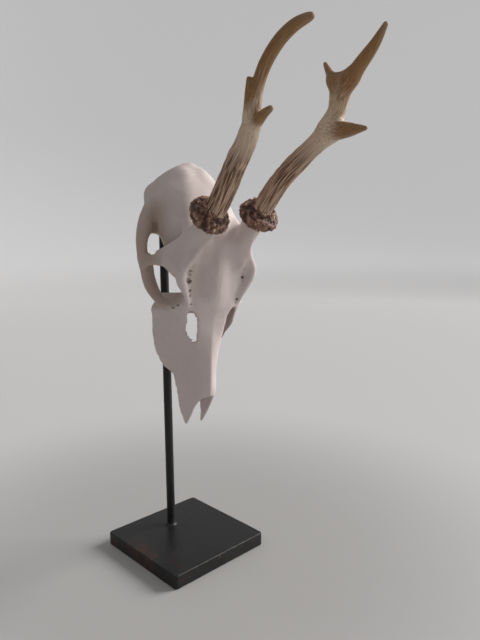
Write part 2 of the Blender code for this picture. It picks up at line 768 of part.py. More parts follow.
def base_plate():
    """The square plate, with rounded corners and softened edges."""
    bm = bmesh.new()
    sizes = Matrix.Diagonal((PLATE_SIDE * MM, PLATE_SIDE * MM, PLATE_THICKNESS * MM, 1.0))
    lift = Matrix.Translation((0.0, 0.0, PLATE_THICKNESS * MM / 2.0))
    bmesh.ops.create_cube(bm, size=1.0, matrix=lift @ sizes)
    upright = [edge for edge in bm.edges if abs(edge.verts[0].co.z - edge.verts[1].co.z) > MM]
    bmesh.ops.bevel(
        bm,
        geom=upright,
        offset=PLATE_CORNER_RADIUS * MM,
        segments=PLATE_CORNER_STEPS,
        profile=0.5,
        affect="EDGES",
    )
    made = mesh_object("base_plate", bm)
    edges = made.modifiers.new("soft edges", "BEVEL")
    edges.width = PLATE_EDGE_RADIUS * MM
    edges.segments = PLATE_EDGE_STEPS
    edges.limit_method = "ANGLE"
    edges.angle_limit = math.radians(PLATE_EDGE_ANGLE)
    return made


def rod_run(name, points):
    """A round steel bar along a run of points, as a curve with filled ends."""
    curve = bpy.data.curves.new(name, "CURVE")
    curve.dimensions = "3D"
    curve.bevel_depth = ROD_DIAMETER * MM / 2.0
    curve.bevel_resolution = ROD_FINENESS
    curve.use_fill_caps = True
    run = curve.splines.new("POLY")
    run.points.add(len(points) - 1)
    for point, place in zip(run.points, points):
        point.co = (*(value * MM for value in place), 1.0)
    made = bpy.data.objects.new(name, curve)
    bpy.context.collection.objects.link(made)
    return made


def support():
    """The upright rod, and the bent arm that enters the back of the head. Returns both."""
    bend_start = ARM_HEIGHT - ARM_BEND_RADIUS
    arm_foot = bend_start - ARM_FOOT
    foot = (0.0, ROD_OFFSET_BACK, PLATE_THICKNESS + GAP)
    rod = rod_run("support_rod", (foot, (0.0, ROD_OFFSET_BACK, arm_foot - GAP)))
    bend = [(0.0, ROD_OFFSET_BACK, arm_foot), (0.0, ROD_OFFSET_BACK, bend_start)]
    for step in range(1, ARM_BEND_STEPS + 1):
        angle = math.pi / 2.0 * step / ARM_BEND_STEPS
        back = ROD_OFFSET_BACK - ARM_BEND_RADIUS * (1.0 - math.cos(angle))
        bend.append((0.0, back, bend_start + ARM_BEND_RADIUS * math.sin(angle)))
    bend.append((0.0, ROD_OFFSET_BACK - ARM_REACH, ARM_HEIGHT))
    return [rod, rod_run("support_arm", bend)]


def main():
    clear_scene()
    bone = material("bleached bone", *BONE_FINISH)
    horn = material("antler", *ANTLER_FINISH)
    steel = material("blackened steel", *STEEL_FINISH)

    stand = [base_plate(), *support()]
    bones = skull()
    tines = (FRONT_TINE_RIGHT, REAR_TINE_RIGHT)
    antlers = antler("right", BEAM_RIGHT, tines, (), (FRONT_SPLIT_RIGHT, REAR_SPLIT_RIGHT))
    tines = (FRONT_TINE_LEFT, REAR_TINE_LEFT)
    antlers += antler("left", BEAM_LEFT, tines, (CROTCH_LEFT,), (FRONT_SPLIT_LEFT, REAR_SPLIT_LEFT))

    pose = bpy.data.objects.new("skull pose", None)
    bpy.context.collection.objects.link(pose)
    pose.location = Vector(SKULL_PLACE) * MM
    angles = [math.radians(angle) for angle in (SKULL_TILT, SKULL_ROLL, SKULL_TURN)]
    pose.rotation_euler = Euler(angles, "XYZ")
    for piece in bones + antlers:
        piece.parent = pose
    for finish, pieces in ((steel, stand), (bone, bones), (horn, antlers)):
        for piece in pieces:
            piece.data.materials.clear()
            piece.data.materials.append(finish)


main()
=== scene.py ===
"""A roe buck's cut skull with its antlers, nose down on a bent steel rod over a square steel base.

Bone and antler are drawn in the skull's own frame, in millimetres, as (along, up, out): `along` runs
from the tips of the premaxillae to the back of the head, `up` from the mouth side to the forehead,
and `out` from the midline to the deer's left. skull_pose() turns that frame onto the stand.
"""

import math
import random

import bmesh
import bpy
import numpy as np
from bpy.props import FloatProperty, FloatVectorProperty, IntProperty, PointerProperty
from mathutils import Euler, Matrix, Vector, noise


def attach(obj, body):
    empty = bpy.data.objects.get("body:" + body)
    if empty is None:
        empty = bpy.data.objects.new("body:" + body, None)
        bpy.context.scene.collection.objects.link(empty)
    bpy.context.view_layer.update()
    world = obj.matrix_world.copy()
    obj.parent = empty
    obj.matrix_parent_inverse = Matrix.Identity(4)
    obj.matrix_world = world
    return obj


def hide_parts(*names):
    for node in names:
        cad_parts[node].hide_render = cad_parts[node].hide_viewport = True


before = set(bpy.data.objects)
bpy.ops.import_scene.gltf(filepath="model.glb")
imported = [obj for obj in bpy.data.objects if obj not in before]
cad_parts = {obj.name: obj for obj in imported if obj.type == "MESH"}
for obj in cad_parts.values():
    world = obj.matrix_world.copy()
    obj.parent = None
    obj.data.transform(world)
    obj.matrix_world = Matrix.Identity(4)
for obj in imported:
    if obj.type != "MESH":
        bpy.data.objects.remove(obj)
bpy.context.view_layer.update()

bl_info = {
    "name": "Roe skull on a stand",
    "version": (1, 0, 0),
    "blender": (4, 5, 0),
    "location": "View3D > Sidebar > Roe skull",
    "description": "Builds a cut roe buck skull with antlers on a steel rod and base, and its studio",
    "category": "Object",
}

MM = 0.001

# Pose of the skull on the stand
SKULL_PLACE = (-2.2, -16.9, 120.6)
SKULL_ANGLES = (-6.1, 0.4, -11.2)

# Braincase: along, half width, height of the widest level, top, underside
BRAINCASE = (
    (105, 12, 28, 47, 13), (114, 13, 29, 52, 11), (124, 15.5, 30, 56, 9.5), (134, 21.5, 31, 59, 8.5),
    (144, 26, 30, 61, 8), (155, 29.4, 27.5, 62, 7.5), (166, 31.4, 25, 61.3, 7), (177, 32, 22.5, 55.6, 6),
    (187, 31.2, 20.5, 48.2, 5), (195, 28.6, 19.5, 42.2, 5), (202, 24.2, 19, 36.2, 6),
    (208, 18.8, 19.5, 31.8, 9), (212.5, 12.4, 21, 27.5, 13), (215.5, 5.5, 22, 24.5, 19),
)
BRAINCASE_ROUNDNESS = 2.05
# Forehead roof between the eyes: along, half width, top, thickness
FOREHEAD = (
    (94, 15, 46, 4), (99, 18.5, 48.2, 5), (106, 22.5, 51, 6), (114, 26, 54.3, 7), (122, 30, 57, 7.5),
    (129, 31, 59.2, 8), (136, 28.5, 61.2, 8.5), (144, 24, 62.8, 9), (154, 21.5, 64.2, 9.5),
    (163, 17, 63.5, 8),
)
FOREHEAD_ROUNDNESS = 3.2
# Lacrimal and upper jaw in front of the eye: along, half width, level, top, underside
EYE_FRONT = (
    (97, 23.5, 20, 41, 6), (101, 27, 20, 45.5, 3), (104.5, 29, 20, 48, 2), (108, 26.5, 22, 50.5, 6),
    (112, 20, 26, 52, 12),
)
EYE_FRONT_ROUNDNESS = 3.0
# Nose shell: along, ridge height, shoulder (out, up), cheek (out, up), sawn edge (out, up)
NOSE = (
    (113, 50.5, 20, 46, 22.5, 30, 24, 3), (103, 50, 23, 48, 29, 32, 30.5, -2),
    (95, 48, 23.6, 43.4, 28, 28, 30.3, -3), (86, 45.5, 20.6, 40.4, 25, 24.5, 30.1, -4),
    (77, 43.2, 14.2, 37.6, 19.8, 21, 30, -4.2), (69, 41.5, 10.8, 36, 16.2, 19, 29.2, -4.2),
    (60, 39.9, 9.4, 34, 13.8, 17.6, 26.6, -3.8), (52, 38.7, 8.8, 32.6, 12.5, 16.4, 22.6, -2.6),
    (46, 37.8, 8.6, 31.4, 11.9, 15.2, 16.2, -1.2), (41, 37, 8.5, 30.6, 11.6, 14.2, 14.8, -0.5),
    (31, 34.8, 8.3, 28.6, 11.2, 12.5, 13.6, 0), (17, 26.5, 7.6, 20, 10, 10, 11.6, -1),
    (1, 15, 6.8, 11, 7.8, 6.5, 8.5, 1),
)
NOSE_WALL = 2.2
# The clay round the nose: how low, how high and how far to each side it is worked
NOSE_LOW = -8.0
NOSE_HIGH = 56.0
NOSE_REACH = 36.0
# Ledge of the premaxilla towards the midline: along, up, out, half width, half thickness
PALATE_LEDGE = ((29, 1.5, 11, 1.6, 1), (21, 0.5, 9.6, 2.2, 1.1), (12, 0.5, 9.4, 1.2, 1.1))
# Half width of the nasal bones together: along, half width
NASAL_TIP = (30.0, 6.6)
NASAL_ROOT = (103.0, 14.2)
# What is open at the nostrils, as (along, up) seen from the side
NOSTRIL = (
    (-12, -10), (1, 2.6), (7, 8.6), (14, 15.4), (21, 22.2), (25.6, 27.4), (27.6, 31.6), (28.2, 37),
    (28.6, 60), (-12, 60),
)
# The gap in the bone beside the nasals, as (along, out) seen from above
SIDE_OPENING = (
    (98.6, 16.6), (99.3, 20.2), (96.4, 21.2), (91, 20.7), (87.2, 20.9), (84.4, 20.3), (80.9, 17.8),
    (79, 17.2), (76.6, 14.8), (74.2, 13.4), (74.4, 11), (80, 11.3), (90, 12.7), (94, 13.9),
)
# Between which places along the openings of the nose are cut, and how far down the gap goes
OPENINGS_ALONG = (-3.0, 108.0)
SIDE_OPENING_DEPTH = 28.0

# Eye ring, cheek arch and bar behind the eye: along, up, out, then half width and half thickness
EYE_RING = (
    (105.5, 47, 23, 2.6, 1.8), (102.6, 41, 26.8, 4.2, 2.2), (104.4, 30, 31, 5.2, 2.2),
    (110.6, 17.8, 33, 5.4, 2.1), (118.5, 12.2, 35, 5.8, 2.2), (127, 11.8, 37.2, 5.8, 2.4),
    (136, 12.8, 38.6, 6, 2.8), (143, 15, 40.6, 6, 3.2),
)
CHEEK_ARCH = (
    (136, 14.5, 41.6, 3.4, 2.8), (143, 15.6, 42.8, 5.2, 3.6), (150, 16.5, 43, 5.6, 4),
    (158, 16.5, 41.8, 5.8, 4.6), (166, 16.5, 39.5, 5.8, 5.4), (173, 16, 36.6, 5.6, 5.6),
    (180, 15.6, 33.6, 5.4, 5), (187, 16, 29.6, 4.9, 4.8), (190, 15.5, 25, 4.8, 4.8),
)
# Shelf that joins the arch to the side of the braincase, over the jaw joint
JAW_SHELF = (
    (157, 15.5, 31, 11, 2.4), (163, 14.5, 32, 11, 2.8), (169, 13, 31, 10.5, 3.4), (176, 13, 29.5, 9, 4),
    (186, 13.5, 27, 7.5, 5),
)
# The gap between cheek arch and braincase: centre, then half sizes
TEMPORAL_GAP = ((152.3, 15, 31.8), (9.5, 20, 8.2))
BROW = (
    (105, 49.3, 23, 1.6), (110, 51.8, 24.6, 1.8), (115, 54, 26.8, 2), (119, 55.8, 29, 2.2),
    (123.5, 57.6, 31, 2.3), (129, 59.8, 31.2, 2.4), (134, 61.6, 28.6, 2.5), (140, 63.8, 24.6, 2.4),
    (147, 67.4, 20.5, 2.3), (154, 71.5, 17, 2.2),
)
# Roof over the back of the eye, under the brow
EYE_ROOF = ((121, 52.4, 28.4, 3), (127, 54.3, 30.8, 3.3), (131.5, 50.3, 33.8, 3.5), (136.8, 44, 36, 3.2))
EYE_BAR = (
    (143.5, 61, 21.5, 12, 2.6), (141, 52, 29.5, 10, 2.3), (140.2, 40, 35.5, 6.2, 2.2),
    (140.2, 28, 39.6, 4.4, 2.2), (140.4, 18, 42, 4.8, 2.6),
)
# Front edge of the temporal hollow, from the bar up to the back of the pedicle
FRONT_CREST = ((146, 34, 37.5, 1.2), (149, 44, 33.5, 1.4), (153, 55, 29, 1.5), (159, 67, 24, 1.5))
CREST = (
    (190, 10, 30, 4.2), (197, 11.5, 28, 3.6), (203, 14.5, 23.5, 2.9), (208, 18, 16.4, 2.3),
    (211.4, 21, 9, 1.9), (213, 22.5, 0, 1.6),
)
TEMPORAL_LINE = (
    (160, 57, 22, 2.6), (168, 49.4, 18.8, 2.8), (178, 44.8, 15.6, 2.8), (188, 38.9, 12.2, 2.6),
    (197, 33.2, 9.6, 2.4), (206, 27.4, 7.6, 2.2),
)
EAR_BOSS = (194.0, 11.0, 28.8, 5.2)
EAR_BULLA = (175.0, 8.0, 16.5, 8.5)
CONDYLE = (207.0, 10.0, 10.5, 6.2)
PEDICLE = ((144, 57, 19, 8.6), (153, 69, 20, 8.4), (166.5, 84.5, 20.6, 8.4))
FORAMEN = ((213, -6), (190, 33))
FORAMEN_HALF_WIDTH = 8.6
# Height over which a point lies on the upper side of the bone
UPPER_SIDE = 30.0

# Small holes drilled in the bone: along, out, radius, depth, slant along the bone
HOLES = (
    (129.2, -23.8, 0.6, 1.5, 1), (126.4, -22.6, 0.6, 2, 1), (124, -24.2, 0.7, 1.5, 1),
    (122.4, -23.2, 1.2, 4, 3), (115, -22.4, 0.6, 1.5, 0.5), (111, -21.8, 0.5, 1.2, 0.5),
    (104.4, -20.4, 0.9, 2, 0.5), (102.5, -31, 0.9, 2.4, 0), (104.2, -28.4, 0.8, 2.4, 0),
    (129, 23.4, 0.6, 1.5, 1), (125.6, 22.8, 0.6, 2, 1), (122.8, 23.6, 1.2, 4, 3),
    (119.6, 23.4, 0.5, 1, 0.5), (105.6, 20.6, 1.1, 2.2, 0.5), (102.8, 20, 0.6, 1.5, 0.5),
)
# Soft hollows and swells of the bone, seen from above: depth on the right and on the left, reach,
# then the path as (along, out)
HOLLOWS = (
    (3.8, 0.2, 8, ((141, 12.5), (133, 14.5), (124, 15), (116, 13.5))),
    (1.2, 0.6, 3.4, ((131, 23), (121, 23), (110, 20.6), (104, 19))),
    (-2, -0.4, 2.2, ((154, 17.5), (145, 21.5), (139, 25), (134, 28.5))),
    (-3, -3, 13, ((146, 0), (134, 0), (120, 0), (108, 0))),
    (1.2, 1.2, 5, ((142, 32), (149, 27))),
)
# Seams between the bones, seen from above
SEAMS = (((158, 0), (130, 0), (104, 0)), ((74, 11), (62, 9.7), (48, 8.3), (33, 6.9)))
SEAM_DEPTH = 0.20
SEAM_REACH = 0.55
SEAM_WANDER = 0.45
# Unevenness of the skull and of the burrs, in layers: size of the features, height, offset
SKULL_UNEVENNESS = ((16.0, 0.35, 0.0), (5.0, 0.10, 7.0))
BURR_UNEVENNESS = ((3.4, 0.80, 3.0), (1.1, 0.35, 9.0))
# Yellowed bone of the cheek arches and of the eye sockets, darkened there with painted shade as well: the
# places from the midline between which it grows, to what share, the heights between which it fades, and its
# shares at places along
YELLOWING_AND_SHADE_ZONES = (
    ((22, 31), 1.0, (28, 46), (100, 104, 180, 192), (0, 1, 1, 0.2)),
    ((10, 16), 0.9, (34, 46), (100, 103, 120, 128), (0, 1, 1, 0)),
)

# Antlers: along, up, out, half width of the beam there
BEAM_RIGHT = (
    (166.5, 84.5, 20.5, 8.2), (173, 97, 19.6, 7.6), (184, 109, 19, 7.5), (196, 124, 20.2, 7.3),
    (204, 143, 24.6, 6.5), (213, 156, 28, 5.6), (226, 166.5, 31.1, 3.9), (238, 176.5, 31.7, 3.8),
    (247, 189, 30.5, 3.7), (251.2, 201, 29, 3.4), (251.8, 211.4, 27.4, 2.5), (251.6, 213.6, 26.9, 1.4),
)
FRONT_TINE_RIGHT = ((211, 157.5, 28, 4.4), (213.4, 169.5, 29.8, 3), (214.6, 179.3, 31, 1.9))
REAR_TINE_RIGHT = ((216, 158, 30, 4.4), (226, 163.5, 33.4, 3.1), (233.6, 168, 36.5, 1.4))
BEAM_LEFT = (
    (166, 86, 20.5, 7.6), (174, 96, 20.6, 7.3), (185.5, 108.5, 23, 7), (195.5, 120.5, 27.2, 6.9),
    (204.5, 136.5, 30.5, 6.5), (213, 151, 33.6, 6.3), (224, 159.5, 35.4, 5.9), (233, 166.5, 34.8, 4.9),
    (240, 175, 34.8, 4.8), (245.5, 184, 34, 4.5), (252.8, 197.6, 33.1, 3.3), (260.2, 207.6, 32.1, 1.6),
)
FRONT_TINE_LEFT = ((213.5, 155, 33.5, 7), (209.8, 173, 32.2, 4.6), (206.8, 189.5, 31, 1.4))
REAR_TINE_LEFT = (
    (232, 163, 34.7, 5.3), (241, 160, 35.6, 4.3), (250, 154, 37, 2.7), (258.8, 147.8, 38.8, 1.5),
)
# Antler that fills the upper fork of the left beam
CROTCH_LEFT = ((244.6, 158.5, 35.8, 3.2), (243.4, 167, 35.2, 4.2), (241.8, 174.5, 34.7, 4))
# Scale of the furrows across and along the beam, of the finer ones beside it, and of the colour
FURROW_SCALE = (1.2, 1.2, 0.06)
FINE_FURROW_SCALE = (2.3, 2.3, 1.3)
COLOUR_SCALE = (1.0, 1.0, 0.05)
# Places up the beam, as shares of it, and how deep the furrows and how high the knobs are there
FURROW_FADE = ((0, 0.45, 0.65, 1), (1, 0.8, 0.22, 0.05))
KNOB_FADE = ((0, 0.5, 1), (0.35, 0.105, 0.0175))
# How the share of the beam is evened out between neighbours: how often, and by how much each time
RISE_ROUNDS = 150
RISE_PULL = 0.7
BURR_HEIGHT = 9.0
# Height over the foot and radius of the burr's core, as shares of its own sizes
BURR_CORE = ((-0.30, 0.50), (-0.22, 0.74), (0.10, 0.88), (0.42, 0.84), (0.68, 0.70), (0.90, 0.50))
PEARLS = 1500
# Smallest, largest and most common radius of a pearl, and how far it may be drawn out on each axis
PEARL_SIZE = (0.35, 1.25, 0.6)
PEARL_STRETCH = (0.6, 1.6)
# How far in or out a pearl may stand, and the share of its radius by which it is sunk
PEARL_SHIFT = (-0.5, 0.6)
PEARL_SINK = 0.35

# Cross sections between two rows of a table
LOFT_STEPS = 6
SKULL_TRIANGLES = 190000
# The block of clay that the skull is cut from, and the distance that stands for open air
CLAY_LOW = (-3.0, -12.0, -54.0)
CLAY_HIGH = (222.0, 92.0, 54.0)
EMPTY = 40.0
# How far the corners of the front and the rear fork are filled
FORK_WEBS = {"right": (2.0, 2.5), "left": (7.0, 3.8)}
# Height over the plate in mm and share of the rod's radius, up the weld at its foot
WELD = ((0.0, 1.55), (0.5, 1.46), (1.0, 1.22), (1.6, 1.06), (2.4, 1.0))
WELD_SINK = 0.2
ROD_CHAMFER = 0.6
ROD_SIDES = 40
ROD_STEPS = 40
BEND_STEPS = 24

# The floor: radius of its first ring, of the curve up to the wall, the wall's top, rings and sides
FLOOR_MIDDLE = 0.3
FLOOR_CURVE = 0.8
WALL_TOP = 1.6
WALL_STEPS = 12
FLOOR_SIDES = 96
# The way to the window, to the ceiling that throws the light back, and to the dark side of the room, where
# floor and wall are painted dark as painted shade
WINDOW_WAY = (0.77, -0.36, 0.50)
CEILING_WAY = (-0.50, 0.20, 0.85)
SHADE_WAY = (-0.99, 0.12)
# Over how many degrees the light of the window and of the ceiling spreads
WINDOW_SPREAD = 30.0
CEILING_SPREAD = 70.0
DAYLIGHT = (1.0, 0.985, 0.97)
SKY_COLOUR = (0.94, 0.96, 1.0)
# The camera: place, then yaw, pitch down and roll in radians, and its lens in mm
CAMERA_PLACE = (-0.3103, -0.3984, 0.2906)
CAMERA_TURN = (0.7637, 0.1625, -0.0074)
CAMERA_LENS = 33.19
SENSOR_WIDTH = 36.0

RUST_COLOUR = (0.060, 0.022, 0.014)
WORN_STEEL_COLOUR = (0.16, 0.15, 0.145)
# Painted shade in the small holes of the bone
HOLE_SHADE_COLOUR = (0.10, 0.06, 0.04)
WORN_TIP_COLOUR = (0.40, 0.30, 0.19)
# The burr from the tops of its pearls to its pits: how hollow, and the colour there
BURR_COLOURS = (
    (0.34, (0.68, 0.51, 0.38)),
    (0.42, (0.36, 0.20, 0.13)),
    (0.58, (0.21, 0.10, 0.066)),
    (0.82, (0.045, 0.022, 0.015)),
)


# ---- Sizes and colours that a user would change ----


def a_length(name, description, default):
    return FloatProperty(name=name, description=description, default=default, unit="LENGTH")


def a_strength(name, description, default):
    return FloatProperty(name=name, description=description, default=default, min=0.0)


def a_colour(name, description, default):
    return FloatVectorProperty(
        name=name, description=description, default=default, subtype="COLOR", min=0.0, max=1.0
    )


class StandSettings(bpy.types.PropertyGroup):
    plate_side: a_length("Plate side", "Side of the square base plate", 0.100)
    plate_thickness: a_length("Plate thickness", "Thickness of the base plate", 0.012)
    corner_radius: a_length("Corner radius", "Radius of the plate's corners", 0.003)
    edge_radius: a_length("Edge radius", "Radius of the plate's edges", 0.0012)
    rod_diameter: a_length("Rod diameter", "Diameter of the rod and its arm", 0.0075)
    rod_offset: a_length("Rod offset", "Distance of the rod behind the plate's centre", 0.0212)
    arm_height: a_length("Arm height", "Height of the arm's axis", 0.3215)
    bend_radius: a_length("Bend radius", "Radius of the bend to the arm", 0.013)
    arm_reach: a_length("Arm reach", "From the rod's axis to the arm's end", 0.043)
    steel_colour: a_colour("Steel colour", "Colour of the blackened steel", (0.014, 0.0135, 0.0135))


class BoneSettings(bpy.types.PropertyGroup):
    grain: a_length("Grain", "Size of the smallest modelled detail", 0.0008)
    bone_colour: a_colour("Bone colour", "Colour of the bleached bone", (0.70, 0.600, 0.575))
    # Also the colour of the painted shade at the cheek arches and eye sockets
    stain_and_shade_colour: a_colour("Stain colour", "Colour of the bone in its hollows", (0.42, 0.31, 0.23))


class AntlerSettings(bpy.types.PropertyGroup):
    grain: a_length("Grain", "Size of the smallest modelled detail", 0.00045)
    furrow_depth: a_length("Furrow depth", "Depth of the furrows low on the beam", 0.0011)
    burr_radius: a_length("Burr radius", "Radius of the burr over its pearls", 0.0163)
    pearl_seed: IntProperty(name="Pearl seed", description="Changes how the pearls are strewn", default=5)
    furrow_colour: a_colour("Furrow colour", "Dark brown in the furrows", (0.085, 0.040, 0.025))
    ridge_colour: a_colour("Ridge colour", "Pale brown on the ridges low down", (0.66, 0.45, 0.32))
    middle_colour: a_colour("Middle colour", "Pale brown of the smooth beam", (0.84, 0.66, 0.49))
    tip_colour: a_colour("Tip colour", "Brown of the smooth upper tines", (0.30, 0.160, 0.066))


class StudioSettings(bpy.types.PropertyGroup):
    floor_radius: a_length("Floor radius", "Flat radius of the floor", 1.8)
    floor_colour: a_colour("Floor colour", "Pale colour of the floor", (0.42, 0.41, 0.40))
    wall_colour: a_colour("Wall colour", "Pale colour of the wall", (0.66, 0.655, 0.655))
    # The wall's glow is painted light: the wall is no lamp
    wall_painted_light: a_strength("Wall glow", "Brightness of the lit wall", 0.63)
    key_strength: a_strength("Key strength", "Brightness of the light from the window", 3.4)
    ceiling_strength: a_strength("Ceiling strength", "Brightness of the light from the ceiling", 0.42)
    sky_strength: a_strength("Sky strength", "Brightness of the light from all round", 0.17)


# ---- Shapes: points, curves and clay ----


def skull_pose():
    """The matrix that turns the skull's frame onto the stand."""
    angles = [math.radians(angle) for angle in SKULL_ANGLES]
    return Matrix.LocRotScale(Vector(SKULL_PLACE) * MM, Euler(angles, "XYZ"), None)


def catmull(before, here, there, after, t):
    """Catmull-Rom value between `here` and `there`."""
    linear = there - before
    square = 2.0 * before - 5.0 * here + 4.0 * there - after
    cube = 3.0 * here - before - 3.0 * there + after
    return here + 0.5 * t * (linear + t * (square + t * cube))


def spline(rows, steps):
    """Rows of numbers along a smooth curve through the given rows, with `steps` per stretch."""
    out = []
    last = len(rows) - 1
    for start in range(last):
        ends = (rows[max(start - 1, 0)], rows[start], rows[start + 1], rows[min(start + 2, last)])
        for step in range(steps):
            out.append([catmull(*values, step / steps) for values in zip(*ends)])
    out.append(list(rows[last]))
    return np.array(out)


def side_rows(rows, mirror):
    """The rows with their `out` on the given side."""
    turned = np.array(rows, float)
    turned[:, 2] *= mirror
    return turned


def soft_min(first, second, blend):
    """The nearer of two distances, rounded where they are within `blend` of each other."""
    share = np.maximum(blend - np.abs(first - second), 0.0) / blend
    return np.minimum(first, second) - share * share * blend / 4.0


def unit(vector):
    return vector / np.linalg.norm(vector)


class Clay:
    """Clay on a grid: the distance to its skin at each point, in mm, below zero inside it."""

    def __init__(self, low, high, grain):
        self.low, self.grain = np.array(low, float), grain
        self.axes = [np.arange(start, end, grain) for start, end in zip(low, high)]
        self.field = np.full([len(axis) for axis in self.axes], EMPTY, np.float32)

    def window(self, low, high):
        """The part of the grid between two corners, as slices and as places along its three axes."""
        parts = []
        for axis, start, end in zip(self.axes, low, high):
            first, last = int(np.searchsorted(axis, start)) - 1, int(np.searchsorted(axis, end)) + 1
            parts.append(slice(max(first, 0), last))
        along, up, out = (axis[part] for axis, part in zip(self.axes, parts))
        return tuple(parts), (along[:, None, None], up[None, :, None], out[None, None, :])

    def join(self, parts, distance, blend):
        self.field[parts] = soft_min(self.field[parts], distance, blend)

    def carve(self, parts, distance, blend):
        self.field[parts] = -soft_min(-self.field[parts], distance, blend)

    def loft(self, rows, roundness, blend):
        """A body of superellipses: each row is (along, half width, widest level, top, underside)."""
        rows = spline(rows, LOFT_STEPS)
        low = (rows[0, 0] - blend, rows[:, 4].min() - blend, -rows[:, 1].max() - blend)
        high = (rows[-1, 0] + blend, rows[:, 3].max() + blend, rows[:, 1].max() + blend)
        parts, (along, up, out) = self.window(low, high)
        half, level, top, under = (np.interp(along, rows[:, 0], column) for column in rows[:, 1:].T)
        reach = np.where(up > level, top - level, level - under)
        flat, lift = np.abs(out) / half, np.abs(up - level) / reach
        size = np.maximum((flat**roundness + lift**roundness) ** (1.0 / roundness), 0.05)
        slope = np.hypot(flat ** (roundness - 1.0) / half, lift ** (roundness - 1.0) / reach)
        distance = (size - 1.0) * size ** (roundness - 1.0) / np.maximum(slope, 1e-4)
        distance = np.maximum(distance, np.maximum(along - rows[-1, 0], rows[0, 0] - along))
        self.join(parts, distance, blend)

    def tube(self, rows, blend, wide=(0.2, 0.3, 1.0), carve=False):
        """A bar of oval section: each row is (along, up, out, half width, half thickness)."""
        rows = spline(rows, LOFT_STEPS)
        if rows.shape[1] == 4:
            rows = np.hstack((rows, rows[:, 3:]))
        margin = rows[:, 3:].max() + blend + self.grain
        parts, _ = self.window(rows[:, :3].min(0) - margin, rows[:, :3].max(0) + margin)
        near = np.full(self.field[parts].shape, EMPTY, np.float32)
        ways = np.gradient(rows[:, :3], axis=0)
        for start, end, way in zip(rows, rows[1:], 0.5 * (ways[1:] + ways[:-1])):
            reach = max(start[3:].max(), end[3:].max()) + blend + self.grain
            corners = np.minimum(start[:3], end[:3]) - reach, np.maximum(start[:3], end[:3]) + reach
            spot, place = self.window(*corners)
            spot = tuple(slice(s.start - p.start, s.stop - p.start) for s, p in zip(spot, parts))
            near[spot] = np.minimum(near[spot], bar_distance(place, start, end, unit(way), np.array(wide)))
        (self.carve if carve else self.join)(parts, near, blend)

    def turned(self, foot, way, profile, blend):
        """A turned body: its profile is (height over the foot, radius) along its axis."""
        heights, radii = zip(*profile)
        margin = max(max(radii), max(heights)) + blend + self.grain
        parts, place = self.window(foot - margin, foot + margin)
        offset = [axis - middle for axis, middle in zip(place, foot)]
        height = sum(gap * part for gap, part in zip(offset, way))
        reach = np.sqrt(np.maximum(sum(gap**2 for gap in offset) - height**2, 0.0))
        side = reach - np.interp(height, heights, radii)
        self.join(parts, np.maximum(side, np.maximum(heights[0] - height, height - heights[-1])), blend)

    def ball(self, centre, radii, blend, carve=False):
        """An ellipsoid, added or carved out."""
        margin = np.array(radii) + blend + self.grain
        parts, place = self.window(np.array(centre) - margin, np.array(centre) + margin)
        distance = oval_distance([axis - middle for axis, middle in zip(place, centre)], radii)
        (self.carve if carve else self.join)(parts, distance, blend)

    def crowding(self, points, reach):
        """How much clay lies within `reach` of each point: above a half in hollows, below on ridges."""
        amount = (self.field < 0.0).astype(np.float32)
        cells = max(1, round(reach / self.grain))
        for axis in range(3):
            total = np.cumsum(amount, axis=axis)
            here = np.arange(total.shape[axis])
            ahead = np.take(total, np.minimum(here + cells, here[-1]), axis)
            behind = np.take(total, np.maximum(here - cells - 1, 0), axis)
            amount = (ahead - behind) / (2 * cells + 1)
        index = np.rint((points - self.low) / self.grain).astype(int)
        index = np.clip(index, 0, np.array(self.field.shape) - 1)
        return amount[tuple(index.T)]

    def skin(self, name):
        """The mesh of the clay's skin, by one point in each cell that the skin crosses."""
        inside = self.field < 0.0
        cells = np.array(inside.shape) - 1
        corners = np.zeros(cells, np.uint8)
        for step in np.ndindex(2, 2, 2):
            corners += inside[tuple(slice(s, s + n) for s, n in zip(step, cells))]
        crossed = np.argwhere((corners > 0) & (corners < 8))
        number = np.full(cells, -1, np.int32)
        number[tuple(crossed.T)] = np.arange(len(crossed))
        total, count = np.zeros((len(crossed), 3)), np.zeros((len(crossed), 1))
        faces = []
        for axis in range(3):
            unit_step = np.eye(3, dtype=int)[axis]
            for others in np.ndindex(2, 2):
                start = np.insert(others, axis, 0)
                near = self.field[tuple((crossed + start).T)]
                far = self.field[tuple((crossed + start + unit_step).T)]
                cut = (near < 0.0) != (far < 0.0)
                share = np.where(cut, near / np.where(cut, near - far, 1.0), 0.0)[:, None]
                total += np.where(cut[:, None], start + share * unit_step, 0.0)
                count += cut[:, None]
            faces.append(skin_faces(inside, number, axis))
        points = self.low + (crossed + total / count) * self.grain
        return mesh_from(name, points, np.concatenate(faces))


def oval_distance(offset, radii):
    """Distance to an ellipsoid, from the offsets along its three axes."""
    shares = [gap / radius for gap, radius in zip(offset, radii)]
    size = np.sqrt(sum(share**2 for share in shares))
    slope = np.sqrt(sum((share / radius) ** 2 for share, radius in zip(shares, radii)))
    return size * (size - 1.0) / np.maximum(slope, 1e-4)


def bar_distance(place, start, end, way, wide):
    """Distance to one stretch of a bar whose half width and half thickness change along it."""
    wide = unit(wide - way * (wide @ way))
    thick = np.cross(way, wide)
    run = end[:3] - start[:3]
    offset = [axis - middle for axis, middle in zip(place, start)]
    share = np.clip(sum(o * r for o, r in zip(offset, run)) / max(run @ run, 1e-6), 0.0, 1.0)
    offset = [o - share * r for o, r in zip(offset, run)]
    half, thin = (start[key] + share * (end[key] - start[key]) for key in (3, 4))
    parts = [sum(o * d for o, d in zip(offset, direction)) for direction in (wide, thick, way)]
    return oval_distance(parts, (half, thin, thin))


